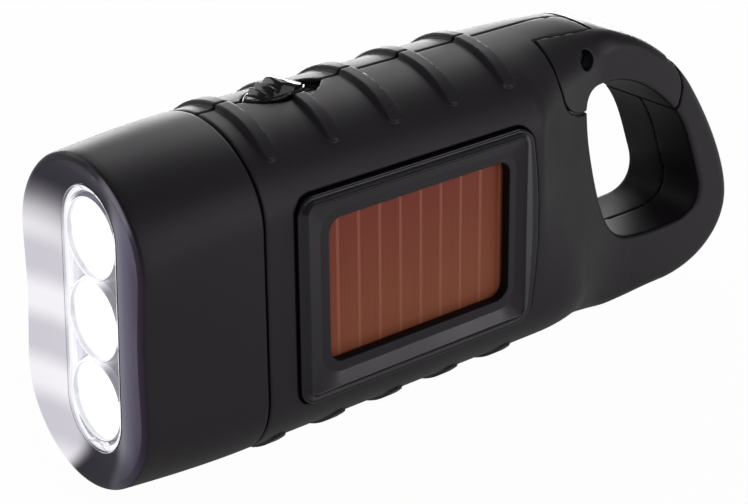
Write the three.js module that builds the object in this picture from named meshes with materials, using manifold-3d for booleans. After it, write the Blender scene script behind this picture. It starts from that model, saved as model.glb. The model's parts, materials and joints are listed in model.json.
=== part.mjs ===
// Hand cranked flashlight: three lamps in front, a solar panel on one side, a folding crank
// on the other side and a spring gate that closes a carry loop at the back.
// Millimetres. X runs from the lamp face to the loop, the solar side faces -Y and Z points up.
// The modelling datum is the middle of the lamps' rims, on the joint between the two shells.
import * as THREE from "three";
import { mergeVertices } from "three/addons/utils/BufferGeometryUtils.js";
import Module from "manifold-3d";

const wasm = await Module();
wasm.setup();

// Overall body
const gripLength = 64;
const bodyHalfWidth = 16.3;
const bodyHalfHeight = 27.7;
const crownShare = 1.1;
const shoulderShare = 0.74;
const wall = 2;
const partingGap = 0.3;
const fitGap = 0.3;
const shaftGap = 0.15;
const overrun = 2;
const weld = 1e-4;

// Head
const headLength = 20;
const frontReach = 2;
const faceLean = 0.03;
const rimHalfWidth = 16.2;
const rimHalfHeight = 26.5;
const rimCrownShare = 1.02;
const rimShoulderShare = 0.88;
const rimRound = 0.9;
const rimLand = 0.3;
const waistDepth = 0.6;
const waistHalfHeight = 13;
const dishDepth = 1.6;
const faceWall = 2;
const rimShares = [0, 0.12, 0.45, 1];
const swellShares = [0.2, 0.4, 0.6, 0.8, 1];
const dishShares = [0, 0.2, 0.45, 0.72, 1];
const spigotLength = 3.4;
const spigotWall = 1.4;

// Lamps
const lampPitch = 13.2;
const cupRadius = 6.45;
const cupThroatRadius = 2.9;
const reflectorDepth = 7.7;
const cupMargin = 0.95;
const cupEndMargin = 2;
const lensPlate = 0.4;
const flangeWidth = 1.5;
const flangeThickness = 1.4;
const ledRadius = 2.5;
const ledFlangeRadius = 2.9;
const ledFlangeDepth = 1;
const ledLength = 6.4;
const ledSides = 16;
const boardThickness = 1.2;

// Grip ribs
const ribCount = 5;
const ribMargin = 4.6;
const ribPitch = 11.7;
const ribHeight = 0.8;
const ribFade = 0.83;
const ribBase = 3;
const ribTop = 1.8;
const standDepth = 0.45;

// Loop at the back, its outlines as shares of the loop's length and the body's half height
const loopLength = 48;
const loopHalfWidth = 9;
const loopEdge = 2.2;
const loopOuterShares = [
  [0, 1], [0.104, 1], [0.204, 0.993], [0.292, 0.946],
  [0.49, 0.866], [0.692, 0.621], [0.792, 0.357],
  [0.888, 0.119], [1, -0.235], [1, -0.458],
  [1, -0.708], [0.865, -0.91], [0.66, -0.928],
  [0.448, -0.928], [0.229, -0.989], [0, -1],
];
const loopHoleShares = [
  [0.2, 0.477], [0.208, 0.144], [0.261, -0.451], [0.458, -0.498],
  [0.541, -0.52], [0.604, -0.52], [0.687, -0.513],
  [0.802, -0.513], [0.846, -0.397], [0.811, -0.235],
  [0.779, -0.09], [0.746, 0.123], [0.678, 0.253],
  [0.594, 0.404], [0.458, 0.592], [0.312, 0.592],
  [0.261, 0.592], [0.204, 0.592], [0.2, 0.477],
];

// The neck narrows from the grip to the loop. Each row gives a place as a share of the loop's
// length, the upper and the lower width as shares of the step between the two half widths, and
// how far the crown has turned into the loop's flat plate.
const neckShares = [
  [-0.188, 1, 1, 0], [-0.146, 1, 1, 0], [-0.083, 0.8, 1, 0], [0, 0.51, 0.97, 0],
  [0.083, 0.29, 0.82, 0], [0.167, 0.144, 0.5, 0.1], [0.26, 0.01, 0.22, 0.35],
  [0.36, 0, 0.06, 0.8], [0.458, 0, 0, 1],
];
const flatCrownShare = 8;
const neckInset = 0.05;
const scoopRadius = 41.2;
const scoopBack = 13.7;
const scoopRise = 14.5;
const scoopRun = 20;
const scoopShares = [[1, 0], [0.65, 0.23], [0.35, 0.547], [0, 1]];

// Gate and its pivot
const gatePinBack = 9.2;
const gatePinDrop = 5.9;
const gatePinRadius = 1.5;
const gatePinRecess = 1.2;
const gateLobeRadius = 8.9;
const gateSeamAngle = 180;
const gateLobeEndAngle = 287;
const gateTipReach = 20.3;
const gateTipAngle = -31.5;
const gateTipRadius = 6.9;
const gateOpening = 26;
const gateSlotMargin = 4;
const tongueHalfWidth = 5.7;
const tongueRadius = 5.5;
const tongueEnd = 1;
const springWire = 0.7;
const springRadius = 2.5;
const springTurns = 3;
const springSteps = 12;
const wireSteps = 3;
const springPocket = 3.5;
const springLeg = 7;

// Solar panel
const bezelMargin = 6;
const bezelLength = 47.8;
const bezelHalfHeight = 17.2;
const bezelCorner = 3;
const bezelBow = 1.8;
const bezelProud = 1.4;
const bezelFlank = 1.8;
const bezelSeat = 2.8;
const crestWidth = 0.5;
const innerSlopeWidth = 2.6;
const innerSlopeDepth = 0.9;
const windowMargin = 7;
const windowLength = 35.8;
const windowHalfHeight = 11.65;
const windowCorner = 1.5;
const cellMargin = 0.9;
const cellThickness = 1.1;
const padThickness = 0.8;
const lipThickness = 1.2;

// Slide switch
const switchMargin = 8.8;
const switchLength = 12.6;
const switchWidth = 7.4;
const switchTravel = 2.4;
const switchRecessDepth = 1.3;
const switchRim = 0.6;
const switchBase = 1;
const switchHump = 2.2;
const switchCrownShare = 1.35;
const switchStem = 2.6;
const switchBodyHeight = 4.6;
const switchBodyLength = 7.6;
const switchBodyWidth = 6;
const switchLever = 1.6;
const ridgeCount = 3;
const ridgePitch = 2.1;
const ridgeDepth = 0.5;
const ridgeSides = 8;

// Gear train, from the crank to the generator
const hubMargin = 30;
const pressureAngle = 25;
const addendumShare = 0.8;
const dedendumShare = 1.05;
const toothShare = 0.9;
const crankTeeth = 32;
const secondTeeth = 28;
const thirdTeeth = 24;
const pinionTeeth = 10;
const firstModule = 0.85;
const secondModule = 0.7;
const thirdModule = 0.6;
const secondAngle = 160;
const thirdAngle = -100;
const rotorAngle = -20;
const wheelWidth = 2.4;
const levelGap = 0.7;
const axleRadius = 1;
const gearPlate = 1.4;
const postRadius = 2.6;
const plateMargin = 1.4;
const platePosts = [[-4, 17.8], [-16, -21], [5.5, -17.5]];
const plateScrewShank = 1;
const plateScrewHead = 1.8;
const plateScrewReach = 5.6;

// Generator
const magnetRadius = 6.6;
const rotorShaftRadius = 0.9;
const coilInner = 7.3;
const coilOuter = 9.6;
const coilEndGap = 0.4;
const canRoom = 4.9;
const canWall = 0.6;

// Crank
const hubBossRadius = 9;
const hubBossHeight = 0.5;
const shaftRadius = 3;
const shaftHexRadius = 2.7;
const hexSides = 6;
const bushWall = 1.4;
const bushFlange = 1;
const armReach = 38;
const armHubRadius = 8.4;
const armTipRadius = 7.4;
const armThickness = 6.4;
const armEdge = 0.9;
const knobRadius = 3.9;
const knobWaist = 0.35;
const knobEndShare = 0.7;
const knobNeckShare = 0.8;
const knobLength = 17;
const knobSlotGap = 0.4;
const knobSlotBack = 3.4;
const spindleRadius = 1.5;
const spindleHead = 0.45;
const spindleHeadLength = 1.4;
const spindleLength = 13;
const barrelRadius = 3;
const hingePinRadius = 1.2;
const armScrewHead = 3.4;
const armScrewHeadHeight = 1.4;
const armScrewShank = 1.2;
const armScrewLength = 8;

// Case screws, through the crank side into the solar side
const frontScrewMargin = 7.4;
const frontScrewRise = 20.6;
const rearScrewMargin = 10.6;
const rearScrewRise = 20.2;
const loopScrewShare = 0.56;
const loopScrewDrop = 19.8;
const screwShank = 1.25;
const screwHead = 2.5;
const screwHeadHeight = 1.6;
const screwSeat = 6;
const screwReach = 7;
const bossWall = 1.9;

// Cell pack and circuit board
const packRadius = 7;
const packLead = 2.2;
const packRoom = 5.8;
const packMargin = 18.5;
const packZ = -9;
const packGroove = 0.35;
const cellCount = 3;
const boardMargin = 32;
const boardLength = 17.5;
const boardLow = -1;
const boardHeight = 19;
const boardSide = -5;
const boardPost = 2;
const boardHole = 2.2;
const boardSink = 0.2;

const arcSteps = 16;
const curveSteps = 8;
const quarterSteps = 5;
const edgeSteps = 3;
const cornerSteps = 3;
const sideSteps = 4;
const halfTurn = Math.PI;
const quarterTurn = halfTurn / 2;
const fullTurn = 2 * halfTurn;
const degree = halfTurn / 180;

const loopStart = headLength + gripLength;
const loopEnd = loopStart + loopLength;
const torchLength = frontReach + loopEnd;
const hubX = headLength + hubMargin;
const bezelStart = headLength + bezelMargin;
const windowStart = bezelStart + windowMargin;
const switchStart = headLength + switchMargin;
const packX = loopStart - packMargin;
const boardStart = headLength + boardMargin;
const caseScrews = [
  [headLength + frontScrewMargin, frontScrewRise],
  [headLength + frontScrewMargin, -frontScrewRise],
  [loopStart - rearScrewMargin, rearScrewRise],
  [loopStart - rearScrewMargin, -rearScrewRise],
  [loopStart + loopScrewShare * loopLength, -loopScrewDrop],
];

const white = "#f2f2ee";
const shellMaterial = new THREE.MeshStandardMaterial({ color: "#1c1c1e", roughness: 0.6 });
const gateMaterial = new THREE.MeshStandardMaterial({ color: "#202022", roughness: 0.5 });
const bezelMaterial = new THREE.MeshStandardMaterial({ color: "#232325", roughness: 0.35 });
const glossMaterial = new THREE.MeshStandardMaterial({ color: "#0c0c0d", roughness: 0.12 });
const cellMaterial = new THREE.MeshStandardMaterial({ color: "#5a2a20", roughness: 0.3 });
const padMaterial = new THREE.MeshStandardMaterial({ color: "#2c2c2c", roughness: 0.9 });
const lensMaterial = new THREE.MeshStandardMaterial({
  color: white, roughness: 0.05, transparent: true, opacity: 0.3,
});
const chromeMaterial = new THREE.MeshStandardMaterial({
  color: "#d8dadd", roughness: 0.08, metalness: 1,
});
const ledMaterial = new THREE.MeshStandardMaterial({ color: white, emissive: "#ffffff" });
const boardMaterial = new THREE.MeshStandardMaterial({ color: "#1f5b35", roughness: 0.5 });
const steelMaterial = new THREE.MeshStandardMaterial({
  color: "#9a9ca0", roughness: 0.35, metalness: 1,
});
const gearMaterial = new THREE.MeshStandardMaterial({ color: "#e8e4d8", roughness: 0.5 });
const copperMaterial = new THREE.MeshStandardMaterial({
  color: "#b06a35", roughness: 0.35, metalness: 1,
});
const magnetMaterial = new THREE.MeshStandardMaterial({ color: "#3b3b3f", roughness: 0.5 });
const packMaterial = new THREE.MeshStandardMaterial({ color: "#2f7d4c", roughness: 0.4 });
const brassMaterial = new THREE.MeshStandardMaterial({
  color: "#b99a4a", roughness: 0.3, metalness: 1,
});

// Solids

// One closed geometry as a solid, facing out whichever way its outline ran.
function solid(geometry) {
  const bare = new THREE.BufferGeometry();
  bare.setAttribute("position", geometry.getAttribute("position"));
  bare.setIndex(geometry.index);
  const merged = mergeVertices(bare, weld);
  const index = merged.index.array;
  const kept = [];
  for (let i = 0; i < index.length; i += 3) {
    const corners = [index[i], index[i + 1], index[i + 2]];
    if (new Set(corners).size === corners.length) kept.push(...corners);
  }
  const body = (triangles) =>
    new wasm.Manifold(
      new wasm.Mesh({
        numProp: 3,
        vertProperties: merged.attributes.position.array,
        triVerts: new Uint32Array(triangles),
      }),
    );
  const made = body(kept);
  return made.volume() < 0 ? body(kept.reverse()) : made;
}

// A solid as a geometry with flat faces.
function geometryOf(body) {
  const mesh = body.getMesh();
  const geometry = new THREE.BufferGeometry();
  const positions = new Float32Array(mesh.vertProperties);
  geometry.setAttribute("position", new THREE.BufferAttribute(positions, 3));
  geometry.setIndex(new THREE.BufferAttribute(new Uint32Array(mesh.triVerts), 1));
  geometry.computeVertexNormals();
  return geometry;
}

function joined(...bodies) {
  return bodies.reduce((whole, body) => whole.add(body));
}

function cutBy(body, ...tools) {
  return tools.reduce((rest, tool) => rest.subtract(tool), body);
}

function box(x0, x1, y0, y1, z0, z1) {
  const geometry = new THREE.BoxGeometry(x1 - x0, y1 - y0, z1 - z0);
  return solid(geometry.translate((x0 + x1) / 2, (y0 + y1) / 2, (z0 + z1) / 2));
}

function cylinderY(radius, y0, y1, x, z, sides = arcSteps) {
  const geometry = new THREE.CylinderGeometry(radius, radius, y1 - y0, sides);
  return solid(geometry.translate(x, (y0 + y1) / 2, z));
}

function cylinderX(radius, x0, x1, y, z, sides = arcSteps) {
  const geometry = new THREE.CylinderGeometry(radius, radius, x1 - x0, sides);
  return solid(geometry.rotateZ(-quarterTurn).translate((x0 + x1) / 2, y, z));
}

function cylinderZ(radius, z0, z1, x, y, sides = arcSteps) {
  const geometry = new THREE.CylinderGeometry(radius, radius, z1 - z0, sides);
  return solid(geometry.rotateX(quarterTurn).translate(x, y, (z0 + z1) / 2));
}

// An outline drawn in X and Z, given its thickness along Y.
function prismY(shape, y0, y1, curveSegments = curveSteps) {
  const settings = { depth: y1 - y0, bevelEnabled: false, curveSegments };
  const geometry = new THREE.ExtrudeGeometry(shape, settings);
  return solid(geometry.rotateX(quarterTurn).translate(0, y1, 0));
}

// The same with both rims rounded back by edge.
function roundedPrismY(shape, y0, y1, edge, curveSegments = curveSteps) {
  const settings = {
    depth: y1 - y0 - 2 * edge,
    bevelThickness: edge,
    bevelSize: edge,
    bevelOffset: -edge,
    bevelSegments: edgeSteps,
    curveSegments,
  };
  const geometry = new THREE.ExtrudeGeometry(shape, settings);
  return solid(geometry.rotateX(quarterTurn).translate(0, y1 - edge, 0));
}

// An outline drawn in X and Y, given its height along Z.
function prismZ(shape, z0, z1, curveSegments = curveSteps) {
  const settings = { depth: z1 - z0, bevelEnabled: false, curveSegments };
  return solid(new THREE.ExtrudeGeometry(shape, settings).translate(0, 0, z0));
}

// A closed skin through rings of as many points each, with a fan over either end.
function loft(rings) {
  const count = rings[0].length;
  const points = rings.flat();
  const index = [];
  for (let ring = 0; ring + 1 < rings.length; ring++)
    for (let i = 0; i < count; i++) {
      const here = ring * count + i;
      const next = ring * count + ((i + 1) % count);
      index.push(here, next, next + count, here, next + count, here + count);
    }
  const lastStart = (rings.length - 1) * count;
  const fan = (start, turned) => {
    const hub = points.length;
    const middle = new THREE.Vector3();
    for (const point of points.slice(start, start + count)) middle.addScaledVector(point, 1 / count);
    points.push(middle);
    for (let i = 0; i < count; i++) {
      const here = start + i;
      const next = start + ((i + 1) % count);
      index.push(...(turned ? [hub, here, next] : [hub, next, here]));
    }
  };
  fan(0, false);
  fan(lastStart, true);
  const geometry = new THREE.BufferGeometry().setFromPoints(points);
  geometry.setIndex(index);
  return solid(geometry);
}

// A profile of radius and place along X, turned round a line that runs along X.
function turnedX(profile, y, z, sides = arcSteps) {
  const points = profile.map(([radius, along]) => new THREE.Vector2(radius, along));
  return solid(new THREE.LatheGeometry(points, sides).rotateZ(-quarterTurn).translate(0, y, z));
}

function turnedY(profile, x, z, sides = arcSteps) {
  const points = profile.map(([radius, along]) => new THREE.Vector2(radius, along));
  return solid(new THREE.LatheGeometry(points, sides).translate(x, 0, z));
}

function circle(x, z, radius) {
  return new THREE.Shape().absarc(x, z, radius, 0, fullTurn);
}

// The convex outline round circles, each given as x, z and radius.
function hullOutline(circles) {
  const points = circles.flatMap(([x, z, radius]) => circle(x, z, radius).getPoints(arcSteps / 2));
  points.sort((p, q) => p.x - q.x || p.y - q.y);
  const turn = (a, b, c) => (b.x - a.x) * (c.y - a.y) - (b.y - a.y) * (c.x - a.x);
  const half = (ordered) => {
    const chain = [];
    for (const point of ordered) {
      while (chain.length > 1 && turn(chain.at(-2), chain.at(-1), point) <= 0) chain.pop();
      chain.push(point);
    }
    return chain.slice(0, -1);
  };
  const lower = half(points);
  const upper = half(points.reverse());
  return new THREE.Shape([...lower, ...upper]);
}

// Cross sections

// Half the arch of a section as points of y and z: a crown arc, a rounder shoulder arc tangent
// to it and to the side, at normal angles in equal steps from the top to the side.
function archQuarter(halfWidth, halfHeight, crown, shoulder) {
  const crownCentre = halfHeight - crown;
  const across = halfWidth - shoulder;
  const rise = Math.sqrt(Math.max((crown - shoulder) ** 2 - across ** 2, 0));
  const joint = Math.atan2(across, rise);
  const points = [];
  for (let step = 0; step <= quarterSteps; step++) {
    const angle = (step / quarterSteps) * quarterTurn;
    const onCrown = angle < joint;
    const radius = onCrown ? crown : shoulder;
    const y = (onCrown ? 0 : across) + radius * Math.sin(angle);
    const z = (onCrown ? crownCentre : crownCentre + rise) + radius * Math.cos(angle);
    points.push([y, z]);
  }
  return points;
}

// A whole section ring at x, its quarters joined by flat sides; waist draws the sides in.
function ringAt(x, quarter, waist = 0, lowerQuarter = quarter) {
  const [topWidth, topEnd] = quarter.at(-1);
  const [lowWidth, lowEnd] = lowerQuarter.at(-1);
  const side = [];
  for (let step = 1; step < sideSteps; step++) {
    const part = step / sideSteps;
    const z = topEnd - (topEnd + lowEnd) * part;
    const width = topWidth + (lowWidth - topWidth) * part;
    const share = Math.min(Math.abs(z) / waistHalfHeight, 1);
    side.push([width - waist * Math.cos(share * quarterTurn) ** 2, z]);
  }
  const lower = lowerQuarter.map(([y, z]) => [y, -z]).reverse();
  const half = [...quarter, ...side, ...lower];
  const other = half.slice(1, -1).map(([y, z]) => [-y, z]).reverse();
  return [...half, ...other].map(([y, z]) => new THREE.Vector3(x, y, z));
}

function bodyQuarter(halfWidth, halfHeight, flat = 0) {
  const crown = halfWidth * (crownShare + (flatCrownShare - crownShare) * flat ** 2);
  const shoulder = halfWidth * shoulderShare * (1 - flat) + loopEdge * flat;
  return archQuarter(halfWidth, halfHeight, crown, shoulder);
}

function stadiumQuarter(halfWidth, halfHeight) {
  return archQuarter(halfWidth, halfHeight, halfWidth, halfWidth);
}

// The body's section, inset by a wall or so, from x0 to x1.
function bodyBar(x0, x1, inset = 0) {
  const quarter = bodyQuarter(bodyHalfWidth - inset, bodyHalfHeight - inset);
  return loft([ringAt(x0, quarter), ringAt(x1, quarter)]);
}

function stadiumBar(halfWidth, halfHeight, x0, x1) {
  const quarter = stadiumQuarter(halfWidth, halfHeight);
  return loft([ringAt(x0, quarter), ringAt(x1, quarter)]);
}

// Head

// The outer skin at x: a small round at the rim, then a gentle swell back to the seam.
function headRing(x) {
  const along = x + frontReach;
  const swell = Math.sin(Math.min(along / (headLength + frontReach), 1) * quarterTurn);
  const back = Math.max(rimRound - along, 0);
  const rim = rimRound - Math.sqrt(Math.max(rimRound ** 2 - back ** 2, 0));
  const halfWidth = rimHalfWidth + (bodyHalfWidth - rimHalfWidth) * swell - rim;
  const halfHeight = rimHalfHeight + (bodyHalfHeight - rimHalfHeight) * swell - rim;
  const crown = rimCrownShare + (crownShare - rimCrownShare) * swell;
  const shoulder = rimShoulderShare + (shoulderShare - rimShoulderShare) * swell;
  const quarter = archQuarter(halfWidth, halfHeight, halfWidth * crown, halfWidth * shoulder);
  return ringAt(x, quarter, waistDepth * (1 - swell));
}

function headForm() {
  const rimStations = rimShares.map((share) => share * rimRound - frontReach);
  const backStations = swellShares.map((share) => share * headLength);
  return loft([...rimStations, ...backStations].map(headRing));
}

const cupsHalfWidth = cupRadius + cupMargin;
const cupsHalfHeight = lampPitch + cupRadius + cupEndMargin;
const dishFloor = dishDepth - frontReach;
const reflectorFront = dishFloor + lensPlate + shaftGap;
const flangeFront = dishFloor + faceWall + fitGap;
const reflectorBack = reflectorFront + reflectorDepth;
const boardFront = reflectorBack + fitGap;

// The dish is a bowl that runs from just inside the rim to the lens opening.
function dishCut() {
  const inset = rimRound + rimLand;
  const edge = headRing(rimRound - frontReach).map(
    (point) => new THREE.Vector3(
      -frontReach,
      (point.y * (rimHalfWidth - inset)) / rimHalfWidth,
      (point.z * (rimHalfHeight - inset)) / rimHalfHeight,
    ),
  );
  const opening = ringAt(0, stadiumQuarter(cupsHalfWidth, cupsHalfHeight));
  const ringFor = (share) =>
    edge.map((point, i) => {
      const moved = point.clone().lerp(opening[i], share);
      moved.x = dishDepth * Math.sin(share * quarterTurn) - frontReach;
      return moved;
    });
  const front = edge.map((point) => new THREE.Vector3(-frontReach - overrun, point.y, point.z));
  return loft([front, ...dishShares.map(ringFor)]);
}

function headShell() {
  const spigotEnd = headLength + fitGap + spigotLength;
  const spigot = bodyBar(headLength - wall, spigotEnd, wall + fitGap);
  const bore = bodyBar(dishFloor + faceWall, spigotEnd + overrun, wall + fitGap + spigotWall);
  const opening = stadiumBar(
    cupsHalfWidth, cupsHalfHeight, dishFloor - overrun, dishFloor + faceWall + overrun,
  );
  return cutBy(joined(headForm(), spigot), bore, opening, dishCut());
}

function lens() {
  return stadiumBar(
    cupsHalfWidth - fitGap, cupsHalfHeight - fitGap, dishFloor, dishFloor + lensPlate,
  );
}

// Three polished bowls sunk in one block with a flange behind the face, open at the back.
function reflector() {
  const block = stadiumBar(
    cupsHalfWidth - fitGap, cupsHalfHeight - fitGap, reflectorFront, reflectorBack,
  );
  const flange = stadiumBar(
    cupsHalfWidth + flangeWidth, cupsHalfHeight + flangeWidth,
    flangeFront, flangeFront + flangeThickness,
  );
  const bowl = [[0, reflectorFront - overrun], [cupRadius, reflectorFront - overrun]];
  for (let step = 0; step <= sideSteps; step++) {
    const share = step / sideSteps;
    const radius = cupRadius + (cupThroatRadius - cupRadius) * share;
    const depth = (cupRadius ** 2 - radius ** 2) / (cupRadius ** 2 - cupThroatRadius ** 2);
    bowl.push([radius, reflectorFront + depth * reflectorDepth]);
  }
  bowl.push([cupThroatRadius, reflectorBack + overrun], [0, reflectorBack + overrun]);
  const cups = [-1, 0, 1].map((place) => turnedX(bowl, 0, place * lampPitch));
  return cutBy(joined(flange, block), ...cups);
}

// A flanged lamp with a domed front that stands in its bowl.
function led(place) {
  const base = boardFront - fitGap;
  const profile = [[0, base], [ledFlangeRadius - fitGap, base]];
  const shoulder = base - ledFlangeDepth;
  profile.push([ledFlangeRadius - fitGap, shoulder], [ledRadius, shoulder]);
  const domeCentre = base - ledLength + ledRadius;
  for (let step = 0; step <= cornerSteps; step++) {
    const angle = (step / cornerSteps) * quarterTurn;
    profile.push([ledRadius * Math.cos(angle), domeCentre - ledRadius * Math.sin(angle)]);
  }
  return turnedX(profile, 0, place * lampPitch, ledSides);
}

function ledBoard() {
  return stadiumBar(
    cupsHalfWidth + flangeWidth, cupsHalfHeight + flangeWidth,
    boardFront, boardFront + boardThickness,
  );
}

// Body shells

// A closed or open run of cubic curves through shares of the loop's length and half height.
function loopOutline(shares) {
  const [first, ...rest] = shares.map(([along, up]) => [
    loopStart + along * loopLength,
    up * bodyHalfHeight,
  ]);
  const outline = new THREE.Shape().moveTo(...first);
  for (let i = 0; i < rest.length; i += 3)
    outline.bezierCurveTo(...rest[i], ...rest[i + 1], ...rest[i + 2]);
  return outline;
}

function outerOutline() {
  const outline = loopOutline(loopOuterShares);
  outline.lineTo(headLength, -bodyHalfHeight);
  outline.lineTo(headLength, bodyHalfHeight);
  return outline;
}

function holeCut(margin = 0) {
  const half = loopHalfWidth + overrun + margin;
  return prismY(loopOutline(loopHoleShares), -half, half);
}

// The scoop on either side of the neck, a shallow cone round a point behind the loop.
function scoopCut(side) {
  const step = bodyHalfWidth - loopHalfWidth;
  const profile = scoopShares.map(([run, rise]) => [
    scoopRadius - run * scoopRun, loopHalfWidth + rise * step,
  ]);
  const lip = [scoopRadius + overrun, bodyHalfWidth + overrun];
  const closed = [[0, loopHalfWidth], ...profile, lip, [0, bodyHalfWidth + overrun]];
  const turned = closed.map(([radius, y]) => [radius, side * y]);
  return turnedY(turned, loopEnd - scoopBack, scoopRise, 2 * arcSteps);
}

// Height of the loop's outline at x, above or below the middle.
function outlineHeight(x, side) {
  const points = outerOutline().getPoints(arcSteps).filter((point) => side * point.y > 0);
  const heights = points.flatMap((point, i) => {
    const next = points[i + 1];
    if (!next || (point.x - x) * (next.x - x) > 0 || point.x === next.x) return [];
    return [side * (point.y + ((x - point.x) / (next.x - point.x)) * (next.y - point.y))];
  });
  return heights.length ? Math.max(...heights) : bodyHalfHeight;
}

// The grip's straight part and the neck, whose last ring lies inside the loop's plate.
function gripBar() {
  const step = bodyHalfWidth - loopHalfWidth + neckInset;
  const width = (share) => loopHalfWidth - neckInset + share * step;
  const neck = neckShares.map(([along, upper, lower, flat]) => {
    const x = loopStart + along * loopLength;
    const inset = neckInset * flat;
    return ringAt(
      x,
      bodyQuarter(width(upper), outlineHeight(x, 1) - inset, flat),
      0,
      bodyQuarter(width(lower), outlineHeight(x, -1) - inset, flat),
    );
  });
  const front = ringAt(headLength + fitGap, bodyQuarter(bodyHalfWidth, bodyHalfHeight));
  return loft([front, ...neck]);
}

// One raised hoop that fades into the shoulders, its sides sloped.
function rib(x) {
  const low = bodyQuarter(bodyHalfWidth - ribFade, bodyHalfHeight - ribFade);
  const high = bodyQuarter(bodyHalfWidth - ribFade, bodyHalfHeight + ribHeight);
  return loft([
    ringAt(x - ribBase / 2, low),
    ringAt(x - ribTop / 2, high),
    ringAt(x + ribTop / 2, high),
    ringAt(x + ribBase / 2, low),
  ]);
}

function bodyForm() {
  const plate = roundedPrismY(outerOutline(), -loopHalfWidth, loopHalfWidth, loopEdge);
  const neckEnd = loopStart + neckShares.at(-1)[0] * loopLength - overrun / 2;
  const high = bodyHalfHeight + overrun;
  const tail = plate.intersect(
    box(neckEnd, loopEnd + overrun, -bodyHalfWidth, bodyHalfWidth, -high, high),
  );
  const scooped = cutBy(gripBar(), scoopCut(-1), scoopCut(1));
  const ribs = Array.from({ length: ribCount }, (_, i) =>
    rib(headLength + ribMargin + i * ribPitch));
  const floor = bodyHalfHeight + ribHeight - standDepth;
  const below = box(0, loopEnd, -bodyHalfWidth, bodyHalfWidth, -floor - overrun, -floor);
  return cutBy(joined(scooped, tail, ...ribs), below);
}

const pinX = loopStart + gatePinBack;
const pinZ = bodyHalfHeight - gatePinDrop;

// The region that the gate takes in side view, grown by margin for the shells' cut.
function gateZone(margin) {
  const lobe = gateLobeRadius + margin;
  const tip = gateTipRadius + margin;
  const high = bodyHalfHeight + overrun;
  const seam = gateSeamAngle * degree;
  const seamX = pinX + lobe * Math.cos(seam);
  const seamZ = pinZ + lobe * Math.sin(seam);
  const lean = Math.tan(seam - quarterTurn);
  const tipX = pinX + gateTipReach * Math.cos(gateTipAngle * degree);
  const tipZ = pinZ + gateTipReach * Math.sin(gateTipAngle * degree);
  const tipFrom = (gateTipAngle - 90) * degree;
  const tipTo = (gateTipAngle + 90) * degree;
  const shape = new THREE.Shape();
  shape.moveTo(seamX + (high - seamZ) / lean, high);
  shape.lineTo(seamX, seamZ);
  shape.absarc(pinX, pinZ, lobe, seam, gateLobeEndAngle * degree);
  shape.absarc(tipX, tipZ, tip, tipFrom, tipTo);
  shape.lineTo(tipX + 2 * tip * Math.cos(tipTo), tipZ + 2 * tip * Math.sin(tipTo));
  shape.lineTo(tipX + tip, high);
  return shape;
}

// The middle of the pivot that stays with the shells, between the gate's two cheeks.
function tongue() {
  const block = box(
    loopStart - gatePinBack, pinX + tongueEnd, -tongueHalfWidth, tongueHalfWidth,
    pinZ, bodyHalfHeight + overrun,
  );
  return joined(block, tongueRoot(), cylinderY(tongueRadius, -tongueHalfWidth, tongueHalfWidth, pinX, pinZ));
}

function tongueRoot() {
  return box(
    loopStart - gatePinBack, pinX, -tongueHalfWidth, tongueHalfWidth,
    pinZ - gateLobeRadius - overrun, pinZ + tongueRadius,
  );
}

function pivotBore(radius) {
  const half = loopHalfWidth + overrun;
  return cylinderY(radius, -half, half, pinX, pinZ);
}

function shellForm() {
  const half = bodyHalfWidth + overrun;
  const zone = cutBy(prismY(gateZone(fitGap), -half, half), tongue());
  return cutBy(bodyForm(), holeCut(), zone, pivotBore(gatePinRadius + shaftGap), switchCuts());
}

// A recess for the slide and the slot under it for its stem.
function switchCuts() {
  const radius = switchWidth / 2 + fitGap;
  const start = switchStart - fitGap;
  const end = switchStart + switchLength + switchTravel + fitGap;
  const slotHalf = switchStem / 2 + fitGap;
  const floor = bodyHalfHeight - switchRecessDepth;
  const oval = (half, x0, x1) =>
    new THREE.Shape()
      .absarc(x0 + half, 0, half, quarterTurn, -quarterTurn)
      .absarc(x1 - half, 0, half, -quarterTurn, quarterTurn);
  const recess = prismZ(oval(radius, start, end), floor, bodyHalfHeight + ribHeight + overrun);
  const middle = switchStart + switchLength / 2;
  const slot = prismZ(
    oval(slotHalf, middle - slotHalf - fitGap, middle + slotHalf + switchTravel + fitGap),
    bodyHalfHeight - wall - overrun, floor + overrun,
  );
  return joined(recess, slot);
}

function shellHollow() {
  const end = loopStart - gatePinBack + fitGap;
  return bodyBar(headLength, end, wall);
}

// A place between the shells: on the solar side below zero, on the crank side above it.
function sideBox(side) {
  const near = partingGap / 2;
  const far = bodyHalfWidth + ribHeight + overrun;
  const high = bodyHalfHeight + ribHeight + overrun;
  const [y0, y1] = side < 0 ? [-far, -near] : [near, far];
  return box(0, loopEnd + overrun, y0, y1, -high, high);
}

// The spring's pocket round the pin and the slots for its two legs.
function springCut() {
  const half = (springTurns * springWire) / 2 + springWire / 2 + fitGap;
  const pocket = cylinderY(springPocket, -half, half, pinX, pinZ);
  const legHalf = springWire / 2 + fitGap;
  const sweep = new THREE.Shape()
    .moveTo(pinX, pinZ + springRadius + legHalf)
    .lineTo(pinX + springLeg + overrun, pinZ + springRadius + legHalf)
    .lineTo(pinX + springLeg + overrun, pinZ - tongueRadius)
    .lineTo(pinX, pinZ - springRadius - legHalf);
  const open = prismY(sweep, -half, half);
  const left = box(
    pinX - springLeg - fitGap, pinX, -half, -half + 2 * legHalf,
    pinZ + springRadius - legHalf, pinZ + springRadius + legHalf,
  );
  return joined(pocket, open, left);
}

function boss(x, z, y0, y1, radius) {
  return cylinderY(radius, y0, y1, x, z);
}

// Material inside a shell is kept to the inside of its skin.
function insideShell(body) {
  return body.intersect(bodyBar(headLength + spigotLength + 2 * fitGap, loopStart, wall / 2));
}

const bezelBack = bodyHalfWidth - bezelSeat;

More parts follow.
